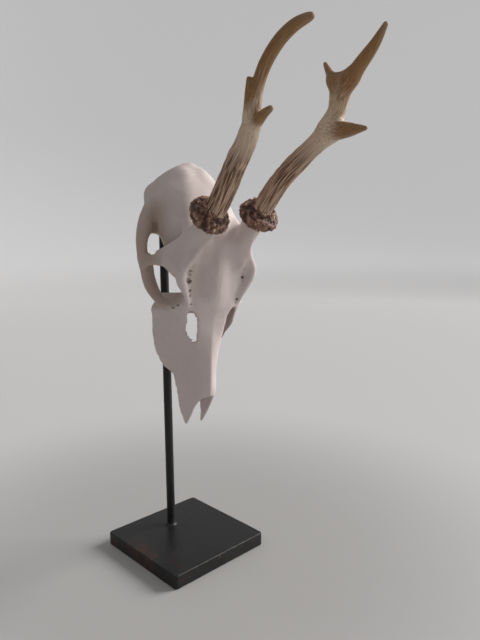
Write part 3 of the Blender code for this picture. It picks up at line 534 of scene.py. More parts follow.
def skin_faces(inside, number, axis):
    """Four-sided faces round each grid edge along an axis that the skin crosses."""
    across = [(axis + 1) % 3, (axis + 2) % 3]
    near, far = [slice(None)] * 3, [slice(None)] * 3
    near[axis], far[axis] = slice(None, -1), slice(1, None)
    for other in across:
        near[other] = far[other] = slice(1, -1)
    before, after = inside[tuple(near)], inside[tuple(far)]
    edge = np.argwhere(before != after)
    leaving = before[tuple(edge.T)]
    edge = edge + np.array([0 if key == axis else 1 for key in range(3)])
    ring = []
    for first, second in ((-1, -1), (0, -1), (0, 0), (-1, 0)):
        step = np.zeros(3, int)
        step[across[0]], step[across[1]] = first, second
        ring.append(number[tuple((edge + step).T)])
    ring = np.stack(ring, axis=1)
    return np.where(leaving[:, None], ring, ring[:, ::-1])


def new_object(name, data):
    made = bpy.data.objects.new(name, data)
    bpy.context.collection.objects.link(made)
    return made


def mesh_from(name, points, faces):
    """A new object from points of the skull's frame and four-sided faces."""
    mesh = bpy.data.meshes.new(name)
    mesh.vertices.add(len(points))
    mesh.loops.add(faces.size)
    mesh.polygons.add(len(faces))
    mesh.loops.foreach_set("vertex_index", faces.astype(np.int32).ravel())
    mesh.polygons.foreach_set("loop_start", np.arange(0, faces.size, 4, dtype=np.int32))
    write_points(mesh, points)
    mesh.update(calc_edges=True)
    return new_object(name, mesh)


def piece_from(name, bm):
    """A new object holding the given bmesh, with its faces pointing out."""
    bmesh.ops.recalc_face_normals(bm, faces=bm.faces)
    mesh = bpy.data.meshes.new(name)
    bm.to_mesh(mesh)
    bm.free()
    return new_object(name, mesh)


def add_loft(bm, rings, closed=True):
    """Adds a skin through rings of points, with a lid on the first ring and, if closed, on the last."""
    loops = [[bm.verts.new(point) for point in ring] for ring in rings]
    count = len(rings[0])
    bm.faces.new(loops[0])
    for near, far in zip(loops, loops[1:]):
        for side in range(count):
            following = (side + 1) % count
            bm.faces.new((near[side], near[following], far[following], far[side]))
    if closed:
        bm.faces.new(reversed(loops[-1]))


def circle(sides):
    """The cosine and sine at each corner of a polygon."""
    angles = [2.0 * math.pi * side / sides for side in range(sides)]
    return [(math.cos(angle), math.sin(angle)) for angle in angles]


def thin(thing, triangles):
    """Thins a mesh to about the given number of triangles, most where it is flat."""
    have = 2 * len(thing.data.polygons)
    if have > triangles:
        fewer = thing.modifiers.new("fewer faces", "DECIMATE")
        fewer.ratio = triangles / have
        graph = bpy.context.evaluated_depsgraph_get()
        mesh = bpy.data.meshes.new_from_object(thing.evaluated_get(graph))
        thing.modifiers.clear()
        thing.data = mesh


# ---- Sculpting with arrays: rows of (along, up, out) in millimetres ----


def read_rows(items, key):
    """A vector of each item as a row of (along, up, out)."""
    raw = np.empty(len(items) * 3, np.float32)
    items.foreach_get(key, raw)
    x, y, z = raw.reshape(-1, 3).T
    return np.stack((z, -y, x), axis=1)


def read_points(mesh):
    return read_rows(mesh.vertices, "co") / MM


def read_normals(mesh):
    return read_rows(mesh.vertex_normals, "vector")


def write_points(mesh, points):
    along, up, out = points.T
    raw = np.stack((out, -up, along), axis=1) * MM
    mesh.vertices.foreach_set("co", raw.astype(np.float32).ravel())
    mesh.update()


def read_edges(mesh):
    raw = np.empty(len(mesh.edges) * 2, np.int32)
    mesh.edges.foreach_get("vertices", raw)
    return raw.reshape(-1, 2)


def neighbour_mean(values, edges):
    """The mean over the neighbours of each point."""
    near, far = edges.T
    count = np.bincount(edges.ravel(), minlength=len(values))
    columns = []
    for column in values.T:
        total = np.bincount(near, column[far], len(values)) + np.bincount(far, column[near], len(values))
        columns.append(total / count)
    return np.stack(columns, axis=1)


def soften(points, edges, amount, rounds):
    """Smooths the points in place, by an amount from 0 to 1 for each of them."""
    for _ in range(rounds):
        points += (neighbour_mean(points, edges) - points) * (0.5 * amount)[:, None]


def smoothed(mesh, rounds):
    """Smooths a mesh. Gives its points and edges."""
    points, edges = read_points(mesh), read_edges(mesh)
    soften(points, edges, np.ones(len(points)), rounds)
    write_points(mesh, points)
    return points, edges


def put_in_place(made):
    """Turns a finished piece of bone or antler from the skull's frame onto the stand."""
    made.data.transform(skull_pose())
    made.data.shade_smooth()
    return made


def path_distance(points, path):
    """Distance of each point from a path through the given places."""
    path = [np.array(row, float) for row in path]
    best = np.full(len(points), np.inf)
    for start, end in zip(path, path[1:]):
        run = end - start
        share = np.clip((points - start) @ run / (run @ run), 0.0, 1.0)
        gap = points - start - share[:, None] * run
        best = np.minimum(best, np.einsum("ij,ij->i", gap, gap))
    return np.sqrt(best)


def ripple(points, size, offset=0.0):
    """Smooth noise between about -1 and 1, with features of the given size."""
    return np.array([noise.noise(row) for row in (points / size + offset).tolist()])


def ripples(points, layers):
    """Layers of noise added up."""
    return sum(height * ripple(points, size, offset) for size, height, offset in layers)


def store(mesh, name, values):
    """Keeps one number or one vector per point on the mesh, for its material."""
    values = np.asarray(values, np.float32)
    kind, key = ("FLOAT", "value") if values.ndim == 1 else ("FLOAT_VECTOR", "vector")
    mesh.attributes.new(name, kind, "POINT").data.foreach_set(key, values.ravel())


# ---- Shader building ----


def feed(tree, node, **sockets):
    """Fills sockets, named with _ for a blank: from another node's socket, or with a value."""
    for name, value in sockets.items():
        plug(tree, node.inputs[name.replace("_", " ")], value)


def plug(tree, socket, value):
    if isinstance(value, bpy.types.NodeSocket):
        tree.links.new(value, socket)
    elif socket.type == "RGBA":
        socket.default_value = (*value[:3], 1.0)
    else:
        socket.default_value = value


def add_node(tree, kind, settings=None, **sockets):
    """A new node with its settings and its sockets filled."""
    made = tree.nodes.new(f"ShaderNode{kind}")
    for key, value in (settings or {}).items():
        setattr(made, key, value)
    feed(tree, made, **sockets)
    return made


def object_place(tree):
    return add_node(tree, "TexCoord").outputs["Object"]


def attribute(tree, name, output="Fac"):
    return add_node(tree, "Attribute", {"attribute_name": name}).outputs[output]


def noise_value(tree, place, scale, detail, **sockets):
    return add_node(tree, "TexNoise", Vector=place, Scale=scale, Detail=detail, **sockets).outputs["Fac"]


def bumped(tree, height, strength, distance):
    return add_node(tree, "Bump", Height=height, Strength=strength, Distance=distance).outputs["Normal"]


def ramp(tree, value, *stops):
    """A colour ramp through (position, colour) stops."""
    made = add_node(tree, "ValToRGB", Fac=value)
    elements = made.color_ramp.elements
    while len(elements) < len(stops):
        elements.new(1.0)
    for element, (position, colour) in zip(elements, stops):
        element.position = position
        element.color = (*colour, 1.0)
    return made.outputs["Color"]


def mixed(tree, factor, first, second):
    """The colour between two colours."""
    made = add_node(tree, "Mix", {"data_type": "RGBA"})
    for index, value in ((0, factor), (6, first), (7, second)):
        plug(tree, made.inputs[index], value)
    return made.outputs[2]


def shaded(share, colour):
    """A share of a colour's brightness."""
    return [share * part for part in colour]


def maths(tree, operation, *values, clamp=False):
    made = add_node(tree, "Math", {"operation": operation, "use_clamp": clamp})
    for socket, value in zip(made.inputs, values):
        plug(tree, socket, value)
    return made.outputs[0]


def times(tree, first, second):
    return maths(tree, "MULTIPLY", first, second)


def times_add(tree, first, second, third):
    return maths(tree, "MULTIPLY_ADD", first, second, third)


def band(tree, value, low, high, to_low=0.0, to_high=1.0):
    """A value mapped smoothly from one range onto another."""
    ends = {"From_Min": low, "From_Max": high, "To_Min": to_low, "To_Max": to_high}
    return add_node(tree, "MapRange", {"interpolation_type": "SMOOTHSTEP"}, Value=value, **ends).outputs[0]


def new_material(name):
    made = bpy.data.materials.new(name)
    made.use_nodes = True
    tree = made.node_tree
    return made, tree, tree.nodes["Principled BSDF"]


def shared_group(name, inputs, output, fill):
    """The shader node group of that name. `fill` gives what it puts out, from its inputs."""
    if name in bpy.data.node_groups:
        return bpy.data.node_groups[name]
    tree = bpy.data.node_groups.new(name, "ShaderNodeTree")
    tree.interface.new_socket("Vector", in_out="INPUT", socket_type="NodeSocketVector")
    for label, default in inputs.items():
        made = tree.interface.new_socket(label, in_out="INPUT", socket_type="NodeSocketFloat")
        made.default_value = default
    tree.interface.new_socket(output, in_out="OUTPUT", socket_type="NodeSocketFloat")
    given, result = tree.nodes.new("NodeGroupInput"), tree.nodes.new("NodeGroupOutput")
    plug(tree, result.inputs[output], fill(tree, *(given.outputs[key] for key in ("Vector", *inputs))))
    return tree


def fill_mottle(tree, place, scale, contrast):
    large = noise_value(tree, place, scale, 4.0)
    small = noise_value(tree, place, times(tree, scale, 4.3), 3.0)
    centred = maths(tree, "SUBTRACT", times_add(tree, small, 0.4, large), 0.7)
    return maths(tree, "ADD", times(tree, centred, contrast), 0.5, clamp=True)


def mottle(tree, place, scale, contrast):
    """Clouds of two sizes in one mask, for uneven tone."""
    group = shared_group("Mottle", {"Scale": 60.0, "Contrast": 1.0}, "Mask", fill_mottle)
    made = add_node(tree, "Group", {"node_tree": group}, Vector=place, Scale=scale, Contrast=contrast)
    return made.outputs["Mask"]


def fill_pores(tree, place, scale, pits):
    cells = add_node(tree, "TexVoronoi", Vector=place, Scale=scale, Randomness=1.0)
    grain = noise_value(tree, place, times(tree, scale, 0.4), 6.0)
    pit = band(tree, cells.outputs["Distance"], 0.0, 0.35)
    return maths(tree, "ADD", times(tree, pit, pits), grain)


def pores(tree, place, scale, pits):
    """Fine pits and grain as a height, for bone and burrs."""
    group = shared_group("Pores", {"Scale": 900.0, "Pits": 0.5}, "Height", fill_pores)
    made = add_node(tree, "Group", {"node_tree": group}, Vector=place, Scale=scale, Pits=pits)
    return made.outputs["Height"]


# ---- The stand ----


def steel_material(settings):
    """Blackened steel: uneven dark skin, a breath of rust and edges worn bright."""
    made, tree, shader = new_material("blackened_steel")
    place = object_place(tree)
    clouds, fine = mottle(tree, place, 28.0, 1.6), mottle(tree, place, 260.0, 1.3)
    black = tuple(settings.steel_colour)
    toned = mixed(tree, clouds, shaded(0.55, black), shaded(1.7, black))
    margin = band(tree, add_node(tree, "SeparateXYZ", Vector=place).outputs["X"], -0.030, -0.047)
    rust = band(tree, mottle(tree, place, 45.0, 3.0), 0.35, 0.85)
    rusted = mixed(tree, times(tree, rust, times(tree, margin, 0.7)), toned, RUST_COLOUR)
    wear = times(tree, attribute(tree, "worn"), band(tree, fine, 0.62, 0.95))
    feed(
        tree,
        shader,
        Base_Color=mixed(tree, wear, rusted, WORN_STEEL_COLOUR),
        Roughness=band(tree, clouds, 0.0, 1.0, 0.34, 0.55),
        Metallic=0.3,
        Normal=bumped(tree, fine, 0.25, 0.0003),
    )
    return made


def edge_height(edge):
    return abs(edge.verts[0].co.z - edge.verts[1].co.z)


def round_off(bm, edges, radius, segments):
    bmesh.ops.bevel(bm, geom=edges, offset=radius, segments=segments, profile=0.5, affect="EDGES")


def base_plate(settings):
    """The square plate, with rounded corners and soft edges that are worn in places."""
    bm = bmesh.new()
    side, thickness, edge_radius = settings.plate_side, settings.plate_thickness, settings.edge_radius
    middle = Matrix.Translation((0.0, 0.0, thickness / 2.0))
    bmesh.ops.create_cube(bm, size=1.0, matrix=middle @ Matrix.Diagonal((side, side, thickness, 1.0)))
    round_off(bm, [edge for edge in bm.edges if edge_height(edge) > MM], settings.corner_radius, 8)
    round_off(bm, [edge for edge in bm.edges if edge_height(edge) < MM], edge_radius, 5)
    made = piece_from("steel_base", bm)
    inner, level = side / 2.0 - edge_radius * 1.02, thickness - edge_radius * 1.02
    spots = [vertex.co for vertex in made.data.vertices]
    worn = [float(max(abs(spot.x), abs(spot.y)) > inner and spot.z > level) for spot in spots]
    store(made.data, "worn", worn)
    return made


def rod(settings):
    """The rod with its bend and arm, swept in one piece, and the weld at its foot."""
    radius, bend = settings.rod_diameter / 2.0, settings.bend_radius
    back, top = settings.rod_offset, settings.arm_height
    foot = settings.plate_thickness - WELD_SINK * MM
    path = [(Vector((0.0, back, foot + height * MM)), radius * share) for height, share in WELD]
    start, bend_start = path[-1][0].z, top - bend
    for step in range(1, ROD_STEPS):
        level = start + (bend_start - start) * step / ROD_STEPS
        path.append((Vector((0.0, back, level)), radius))
    for step in range(BEND_STEPS + 1):
        angle = math.pi / 2.0 * step / BEND_STEPS
        y, z = back - bend * (1.0 - math.cos(angle)), bend_start + bend * math.sin(angle)
        path.append((Vector((0.0, y, z)), radius))
    end = back - settings.arm_reach
    path.append((Vector((0.0, end + ROD_CHAMFER * MM, top)), radius))
    path.append((Vector((0.0, end, top)), radius - ROD_CHAMFER * MM))
    sideways = Vector((1.0, 0.0, 0.0))
    rings = []
    for index, (centre, reach) in enumerate(path):
        ahead, behind = path[min(index + 1, len(path) - 1)][0], path[max(index - 1, 0)][0]
        across = (ahead - behind).normalized().cross(sideways)
        rings.append([centre + (sideways * x + across * y) * reach for x, y in circle(ROD_SIDES)])
    bm = bmesh.new()
    add_loft(bm, rings)
    made = piece_from("bent_rod", bm)
    made.data.shade_smooth()
    store(made.data, "worn", [0.0] * len(made.data.vertices))
    return made


# ---- The bone ----


def cranium(clay):
    """Cheek arches, braincase, forehead, pedicles and the bone round both eyes, melted together."""
    along_axis, up_axis, out_axis = np.eye(3)
    for mirror in (-1.0, 1.0):
        clay.tube(side_rows(CHEEK_ARCH, mirror), 0.1, up_axis)
        clay.tube(side_rows(JAW_SHELF, mirror), 5.0, out_axis)
        clay.tube(side_rows(EYE_BAR, mirror), 4.0, along_axis)
        (along, up, out), radii = TEMPORAL_GAP
        clay.ball((along, up, mirror * out), radii, 1.5, carve=True)
    clay.loft(BRAINCASE, BRAINCASE_ROUNDNESS, 3.0)
    roof = [(along, half, top - thick / 2.0, top, top - thick) for along, half, top, thick in FOREHEAD]
    clay.loft(roof, FOREHEAD_ROUNDNESS, 6.0)
    clay.loft(EYE_FRONT, EYE_FRONT_ROUNDNESS, 4.0)
    for mirror in (-1.0, 1.0):
        bars = ((PEDICLE, 9.0), (TEMPORAL_LINE, 9.0), (CREST, 6.0))
        for rows, blend in (*bars, (EYE_ROOF, 4.0), (BROW, 5.0), (FRONT_CREST, 4.0)):
            clay.tube(side_rows(rows, mirror), blend)
        clay.tube(side_rows(EYE_RING, mirror), 2.0, out_axis)
        for along, up, out, radius in (EAR_BOSS, EAR_BULLA, CONDYLE):
            clay.ball((along, up, mirror * out), (radius, radius, radius), 5.0)


def nose_window(clay, start, end):
    return clay.window((start, NOSE_LOW, -NOSE_REACH), (end, NOSE_HIGH, NOSE_REACH))


def nose_shell(clay):
    """The hollow nose: a thin wall along a profile that changes with `along`, sawn off flat below."""
    rows = spline(NOSE[::-1], LOFT_STEPS)
    parts, (along, up, out) = nose_window(clay, rows[0, 0], rows[-1, 0])
    values = [np.interp(along[:, 0, 0], rows[:, 0], column) for column in rows[:, 1:].T]
    ridge, shoulder_out, shoulder_up, cheek_out, cheek_up, edge_out, edge_up = values
    shoulder, cheek, edge = (
        np.stack(pair) for pair in ((shoulder_out, shoulder_up), (cheek_out, cheek_up), (edge_out, edge_up))
    )
    top = np.stack((np.zeros_like(ridge), ridge))
    across = 0.5 * shoulder * np.array(((-1.0,), (1.0,))) + 0.5 * (1.5 * top - 0.5 * shoulder)
    knots = (across, top, shoulder, cheek, edge, 1.3 * edge - 0.3 * cheek, 1.6 * edge - 0.6 * cheek)
    skin = []
    for start in range(1, 5):
        for step in range(LOFT_STEPS):
            skin.append(catmull(*knots[start - 1 : start + 3], step / LOFT_STEPS))
    ways = [np.stack((np.ones_like(ridge), np.zeros_like(ridge)))]
    ways += [after - before for before, after in zip(skin, skin[2:])]
    middle = []
    for point, way in zip(skin, ways):
        inward = np.stack((way[1], -way[0])) / np.hypot(*way)
        middle.append(point + inward * NOSE_WALL / 2.0)
    nearest = np.full(clay.field[parts].shape, EMPTY**2, np.float32)
    for near, far in zip(middle, middle[1:]):
        run = (far - near)[:, :, None, None]
        gap_out, gap_up = np.abs(out) - near[0][:, None, None], up - near[1][:, None, None]
        share = np.clip((gap_out * run[0] + gap_up * run[1]) / (run[0] ** 2 + run[1] ** 2), 0.0, 1.0)
        nearest = np.minimum(nearest, (gap_out - share * run[0]) ** 2 + (gap_up - share * run[1]) ** 2)
    wall = np.sqrt(nearest) - NOSE_WALL / 2.0
    wall = np.maximum(wall, edge_up[:, None, None] - up)
    clay.join(parts, np.maximum(wall, rows[0, 0] - along), 2.0)
    for mirror in (-1.0, 1.0):
        clay.tube(side_rows(PALATE_LEDGE, mirror), 1.5, (0.0, 0.0, 1.0))


def outline_distance(along, up, outline):
    """Distance from a closed outline in the (along, up) plane, below zero inside it."""
    nearest = np.full(np.broadcast(along, up).shape, EMPTY)
    inside = np.zeros(nearest.shape, bool)
    for (start_along, start_up), (end_along, end_up) in zip(outline, outline[1:] + outline[:1]):
        run_along, run_up = end_along - start_along, end_up - start_up
        gap_along, gap_up = along - start_along, up - start_up
        share = np.clip((gap_along * run_along + gap_up * run_up) / (run_along**2 + run_up**2), 0.0, 1.0)
        nearest = np.minimum(nearest, np.hypot(gap_along - share * run_along, gap_up - share * run_up))
        if run_up:
            crossing = start_along + gap_up * run_along / run_up
            inside ^= ((up > min(start_up, end_up)) & (up <= max(start_up, end_up))) & (along < crossing)
    return np.where(inside, -nearest, nearest)


def open_nose(clay):
    """Cuts the nostrils and the gaps beside the nasal bones."""
    parts, (along, up, out) = nose_window(clay, *OPENINGS_ALONG)
    nostril = outline_distance(along, up, NOSTRIL)
    clay.carve(parts, np.broadcast_to(nostril, clay.field[parts].shape), 0.6)
    beside_nasals = np.interp(along, *zip(NASAL_TIP, NASAL_ROOT)) - np.abs(out)
    away = np.abs(out)
    frayed = 0.4 * np.sin(along * 1.3) * np.sin(away * 1.1 + 2.0) + 0.3 * np.sin(along * 2.9 + away * 2.3)
    gap = np.maximum(outline_distance(along, away, SIDE_OPENING) + frayed, SIDE_OPENING_DEPTH - up)
    clay.carve(parts, np.maximum(gap, beside_nasals), 0.6)


def flat_cut(clay, foot, way, reach):
    """Cuts off what lies beyond a plane near a point, square to the given way."""
    parts, place = clay.window(foot - reach, foot + reach)
    height = sum((axis - middle) * part for axis, middle, part in zip(place, foot, way))
    clay.carve(parts, np.broadcast_to(-height, clay.field[parts].shape), 0.4)


def skull(settings):
    """The whole skull in one skin, then sculpted: hollows, ridges, seams and small holes."""
    clay = Clay(CLAY_LOW, CLAY_HIGH, settings.grain / MM)
    cranium(clay)
    nose_shell(clay)
    open_nose(clay)
    (start_along, start_up), (end_along, end_up) = FORAMEN
    hole = [(start_along, start_up, 0.0, FORAMEN_HALF_WIDTH), (end_along, end_up, 0.0, FORAMEN_HALF_WIDTH)]
    clay.tube(hole, 2.0, carve=True)
    for beam, mirror in ((BEAM_RIGHT, -1.0), (BEAM_LEFT, 1.0)):
        foot, ahead = side_rows(beam[:2], mirror)[:, :3]
        flat_cut(clay, foot, unit(ahead - foot), 16.0)
    for hole in HOLES:
        drill(clay, *hole)
    made = clay.skin("skull")
    mesh = made.data
    points, edges = smoothed(mesh, 2)
    nose_root = np.exp(-(((points[:, 0] - NASAL_ROOT[0]) / 6.0) ** 2)) * (points[:, 1] > UPPER_SIDE)
    soften(points, edges, nose_root, 30)
    write_points(mesh, points)
    sculpt_skull(mesh, points)
    write_points(mesh, points)
    thin(made, SKULL_TRIANGLES)
    mark_skull(made.data, read_points(made.data), clay)
    return put_in_place(made)


def drill(clay, along, out, radius, depth, slant):
    """A small hole from the upper surface of the bone, slanting forwards as it goes in."""
    rows, columns = (int(np.searchsorted(clay.axes[axis], place)) for axis, place in ((0, along), (2, out)))
    top = clay.axes[1][clay.field[rows, :, columns] < 0.0].max()
    hole = [(along - 0.5 * slant, top + 1.5, out, radius), (along + slant, top - depth, out, 0.8 * radius)]
    clay.tube(hole, 0.3, carve=True)


def above(path):
    """A path seen from above, as points on both sides of the skull."""
    return [[(along, side * out) for along, out in path] for side in (-1.0, 1.0)]


def sculpt_skull(mesh, points):
    """Hollows and ridges, seams between the bones and a light unevenness."""
    normals = read_normals(mesh)
    facing = np.clip(normals[:, 1] * 2.0, 0.0, 1.0)
    seen = points[:, (0, 2)]
    left_share = 0.5 + 0.5 * np.tanh(seen[:, 1] / 4.0)
    for right, left, reach, path in HOLLOWS:
        depth = right + (left - right) * left_share
        near = np.minimum(*(path_distance(seen, side) for side in above(path)))
        points -= normals * (depth * facing * np.exp(-((near / reach) ** 2)))[:, None]
    wander = seen + SEAM_WANDER * np.stack((np.sin(seen[:, 1] * 2.3), np.sin(seen[:, 0] * 1.9)), axis=1)
    for path in SEAMS:
        near = np.minimum(*(path_distance(wander, side) for side in above(path)))
        points -= normals * (SEAM_DEPTH * facing * np.exp(-((near / SEAM_REACH) ** 2)))[:, None]
    points += normals * ripples(points, SKULL_UNEVENNESS)[:, None]


def mark_skull(mesh, points, clay):
    """Keeps how hollow each point of the bone is, the painted shade in and round its small holes, and where
    the bone is yellowed and darkened with painted shade, for its material.
    """
    store(mesh, "hollow", clay.crowding(points, 4.0))
    seen = points[:, (0, 2)]
    # Painted shade: a dark patch in and round each small hole on the upper side
    stain_and_shade = np.zeros(len(points))
    for along, out, radius, _, _ in HOLES:
        near = np.hypot(seen[:, 0] - along, seen[:, 1] - out)
        stain_and_shade = np.maximum(stain_and_shade, np.exp(-((near / (1.2 * radius)) ** 2)) * (points[:, 1] > UPPER_SIDE))
    store(mesh, "stain_and_shade", stain_and_shade)
    # Yellowed bone of the cheek arches and eye sockets, also darkened there as painted shade
    yellowing_and_shade = np.zeros(len(points))
    for sideways, share, heights, places, shares in YELLOWING_AND_SHADE_ZONES:
        zone = np.interp(np.abs(points[:, 2]), sideways, (0.0, share))
        zone = zone * np.interp(points[:, 1], heights, (1.0, 0.0)) * np.interp(points[:, 0], places, shares)
        yellowing_and_shade = np.maximum(yellowing_and_shade, zone)
    store(mesh, "yellowing_and_shade", yellowing_and_shade)


def bone_material(settings):
    """Bleached bone: off white, warmer in hollows, yellowed and darkened with painted shade at the cheek
    arches and eye sockets, painted shade in and round its small holes, with fine pores.
    """
    made, tree, shader = new_material("bleached_bone")
    place = object_place(tree)
    clouds, specks = mottle(tree, place, 22.0, 1.4), mottle(tree, place, 240.0, 2.0)
    bone, stain_and_shade = tuple(settings.bone_colour), tuple(settings.stain_and_shade_colour)
    tone = mixed(tree, clouds, bone, [0.82 * b + 0.18 * s for b, s in zip(bone, stain_and_shade)])
    hollow = times(tree, band(tree, attribute(tree, "hollow"), 0.52, 0.95), 0.30)
    # Yellowing and painted shade at the cheek arches and eye sockets
    yellowing_and_shade = times(tree, attribute(tree, "yellowing_and_shade"), band(tree, clouds, 0.0, 1.0, 0.45, 0.8))
    deeper = mixed(tree, yellowing_and_shade, mixed(tree, hollow, tone, stain_and_shade), stain_and_shade)
    speckled = mixed(tree, times(tree, band(tree, specks, 0.72, 1.0), 0.22), deeper, stain_and_shade)
    # Painted shade in and round the small holes
    holes = band(tree, attribute(tree, "stain_and_shade"), 0.35, 0.95)
    feed(
        tree,
        shader,
        Base_Color=mixed(tree, holes, speckled, HOLE_SHADE_COLOUR),
        Roughness=band(tree, specks, 0.0, 1.0, 0.46, 0.66),
        Normal=bumped(tree, pores(tree, place, 1100.0, 0.6), 0.35, 0.0002),
    )
    return made


# ---- The antlers ----


def spine_frames(rows):
    """Points along a spine with a frame carried along it: origin, way, two sides, run length."""
    points = spline(rows, LOFT_STEPS)[:, :3]
    side = np.array((0.3, 0.2, 1.0))
    frames = []
    length = 0.0
    for index, point in enumerate(points):
        way = unit(points[min(index + 1, len(points) - 1)] - points[max(index - 1, 0)])
        side = unit(side - way * (side @ way))
        if index:
            length += np.linalg.norm(point - points[index - 1])
        frames.append((point, way, side, np.cross(way, side), length))
    return frames


def beam_coordinates(points, spines):
    """Each point as (offset, offset, run) beside the nearest spine, and its share of the beam."""
    best = np.full(len(points), np.inf)
    local = np.zeros((len(points), 3))
    rise = np.zeros(len(points))
    whole = spines[0][-1][4]
    for frames in spines:
        root = frames[0][0]
        # How far up the beam this spine begins
        start = min(spines[0], key=lambda row: np.sum((row[0] - root) ** 2))[4]
        stretch = (whole - start) / frames[-1][4]
        for origin, way, side, across, run in frames:
            gap = points - origin
            distance = np.einsum("ij,ij->i", gap, gap)
            nearer = distance < best
            best[nearer] = distance[nearer]
            ahead = gap[nearer] @ way
            local[nearer] = np.stack((gap[nearer] @ side, gap[nearer] @ across, start + run + ahead), axis=1)
            rise[nearer] = (start + stretch * (run + ahead)) / whole
    return local, np.clip(rise, 0.0, 1.0)


def antler_beam(side, beam, tines, webs, mirror, settings):
    """The beam with its tines in one skin, furrowed low down and smooth towards the tips."""
    spines = [side_rows(rows, mirror) for rows in (beam, *tines)]
    every = np.concatenate(spines)[:, :3]
    clay = Clay(every.min(0) - 13.0, every.max(0) + 10.0, settings.grain / MM)
    clay.tube(spines[0], 0.1)
    for rows, corner in zip(spines[1:], FORK_WEBS[side]):
        clay.tube(rows, corner)
    for rows in webs:
        clay.tube(side_rows(rows, mirror), 6.0)
    made = clay.skin(f"antler_{side}")
    mesh = made.data
    points, edges = smoothed(mesh, 3)
    normals = read_normals(mesh)
    local, rise = beam_coordinates(points, [spine_frames(rows) for rows in spines])
    for _ in range(RISE_ROUNDS):
        rise += RISE_PULL * (neighbour_mean(rise[:, None], edges)[:, 0] - rise)
    stretched = local * FURROW_SCALE
    coarse, fine = ripple(stretched, 1.0), ripple(stretched * FINE_FURROW_SCALE, 1.0, 5.0)
    furrow = np.clip(0.5 - 1.1 * coarse - 0.7 * fine, 0.0, 1.0)
    depth = settings.furrow_depth / MM * np.interp(rise, *FURROW_FADE)
    knobs = ripple(points, 3.0, 11.0) * np.interp(rise, *KNOB_FADE)
    points += normals * ((0.35 - furrow) * depth + knobs)[:, None]
    write_points(mesh, points)
    store(mesh, "furrow", furrow)
    store(mesh, "rise", rise)
    store(mesh, "lie", local * COLOUR_SCALE)
    return put_in_place(made)


def burr(side, beam, mirror, settings):
    """The knobbly collar at the foot of an antler: a core strewn with pearls of bone."""
    chance = random.Random(settings.pearl_seed + (0 if side == "right" else 50))
    radius = settings.burr_radius / MM
    foot, ahead = side_rows(beam[:2], mirror)[:, :3]
    way = unit(ahead - foot)
    side_way = unit(np.cross(way, (1.0, 0.0, 0.0)))
    across = np.cross(way, side_way)
    clay = Clay(foot - 1.5 * radius, foot + 1.5 * radius, settings.grain / MM)
    core = [(height * BURR_HEIGHT, share * radius) for height, share in BURR_CORE]
    clay.turned(foot, way, core, 0.1)
    heights, radii = zip(*core)
    for _ in range(PEARLS):
        angle = chance.uniform(0.0, 2.0 * math.pi)
        level = chance.triangular(heights[0], heights[-1] + 5.0, 0.35 * BURR_HEIGHT)
        size = chance.triangular(*PEARL_SIZE)
        reach = np.interp(level, heights, radii) + chance.uniform(*PEARL_SHIFT) - PEARL_SINK * size
        place = foot + way * level + (side_way * math.cos(angle) + across * math.sin(angle)) * reach
        clay.ball(place, size * np.array([chance.uniform(*PEARL_STRETCH) for _ in range(3)]), 0.7)
    made = clay.skin(f"burr_{side}")
    mesh = made.data
    points, _ = smoothed(mesh, 1)
    points += read_normals(mesh) * ripples(points, BURR_UNEVENNESS)[:, None]
    write_points(mesh, points)
    store(mesh, "hollow", clay.crowding(points, 1.2))
    return put_in_place(made)


def antler_material(settings):
    """Antler: dark furrows between pale ridges low down, smooth brown above, worn pale tips."""
    made, tree, shader = new_material("antler")
    lie, rise = attribute(tree, "lie", "Vector"), attribute(tree, "rise")
    streaks = noise_value(tree, lie, 1.6, 5.0, Roughness=0.65)
    fine = noise_value(tree, lie, 5.0, 4.0, Roughness=0.6)
    lines = times_add(tree, streaks, 1.1, attribute(tree, "furrow"))
    lines = times_add(tree, fine, 0.9, lines)
    patches = noise_value(tree, lie, 0.3, 2.0)
    lines = maths(tree, "ADD", times_add(tree, patches, 1.2, lines), -0.6)
    ridge, furrow = tuple(settings.ridge_colour), tuple(settings.furrow_colour)
    between = [0.45 * r + 0.55 * f for r, f in zip(ridge, furrow)]
    low = ramp(tree, times(tree, lines, 0.4), (0.42, ridge), (0.62, between), (0.82, furrow))
    shade = band(tree, streaks, 0.3, 0.7)
    middle = mixed(tree, shade, settings.middle_colour, shaded(0.62, settings.middle_colour))
    high = mixed(tree, shade, shaded(1.3, settings.tip_colour), shaded(0.7, settings.tip_colour))
    uneven = times_add(tree, streaks, 0.22, maths(tree, "ADD", rise, -0.11))
    lower = mixed(tree, band(tree, uneven, 0.31, 0.50), low, middle)
    body = mixed(tree, band(tree, uneven, 0.57, 0.76), lower, high)
    worn = times(tree, band(tree, rise, 0.93, 1.0), 0.35)
    feed(
        tree,
        shader,
        Base_Color=mixed(tree, worn, body, WORN_TIP_COLOUR),
        Roughness=band(tree, rise, 0.3, 0.9, 0.62, 0.38),
        Specular_IOR_Level=0.3,
        Normal=bumped(tree, lines, 0.4, 0.0004),
    )
    return made


def burr_material():
    """The burr: near black in its pits, brown between, cream on the worn tops of its pearls."""
    made, tree, shader = new_material("burr")
    place = object_place(tree)
    depth = times_add(tree, mottle(tree, place, 240.0, 2.2), 0.34, attribute(tree, "hollow"))
    feed(
        tree,
        shader,
        Base_Color=ramp(tree, depth, *BURR_COLOURS),
        Roughness=0.6,
        Normal=bumped(tree, pores(tree, place, 900.0, 0.8), 0.5, 0.0004),
    )
    return made


# ---- The studio ----


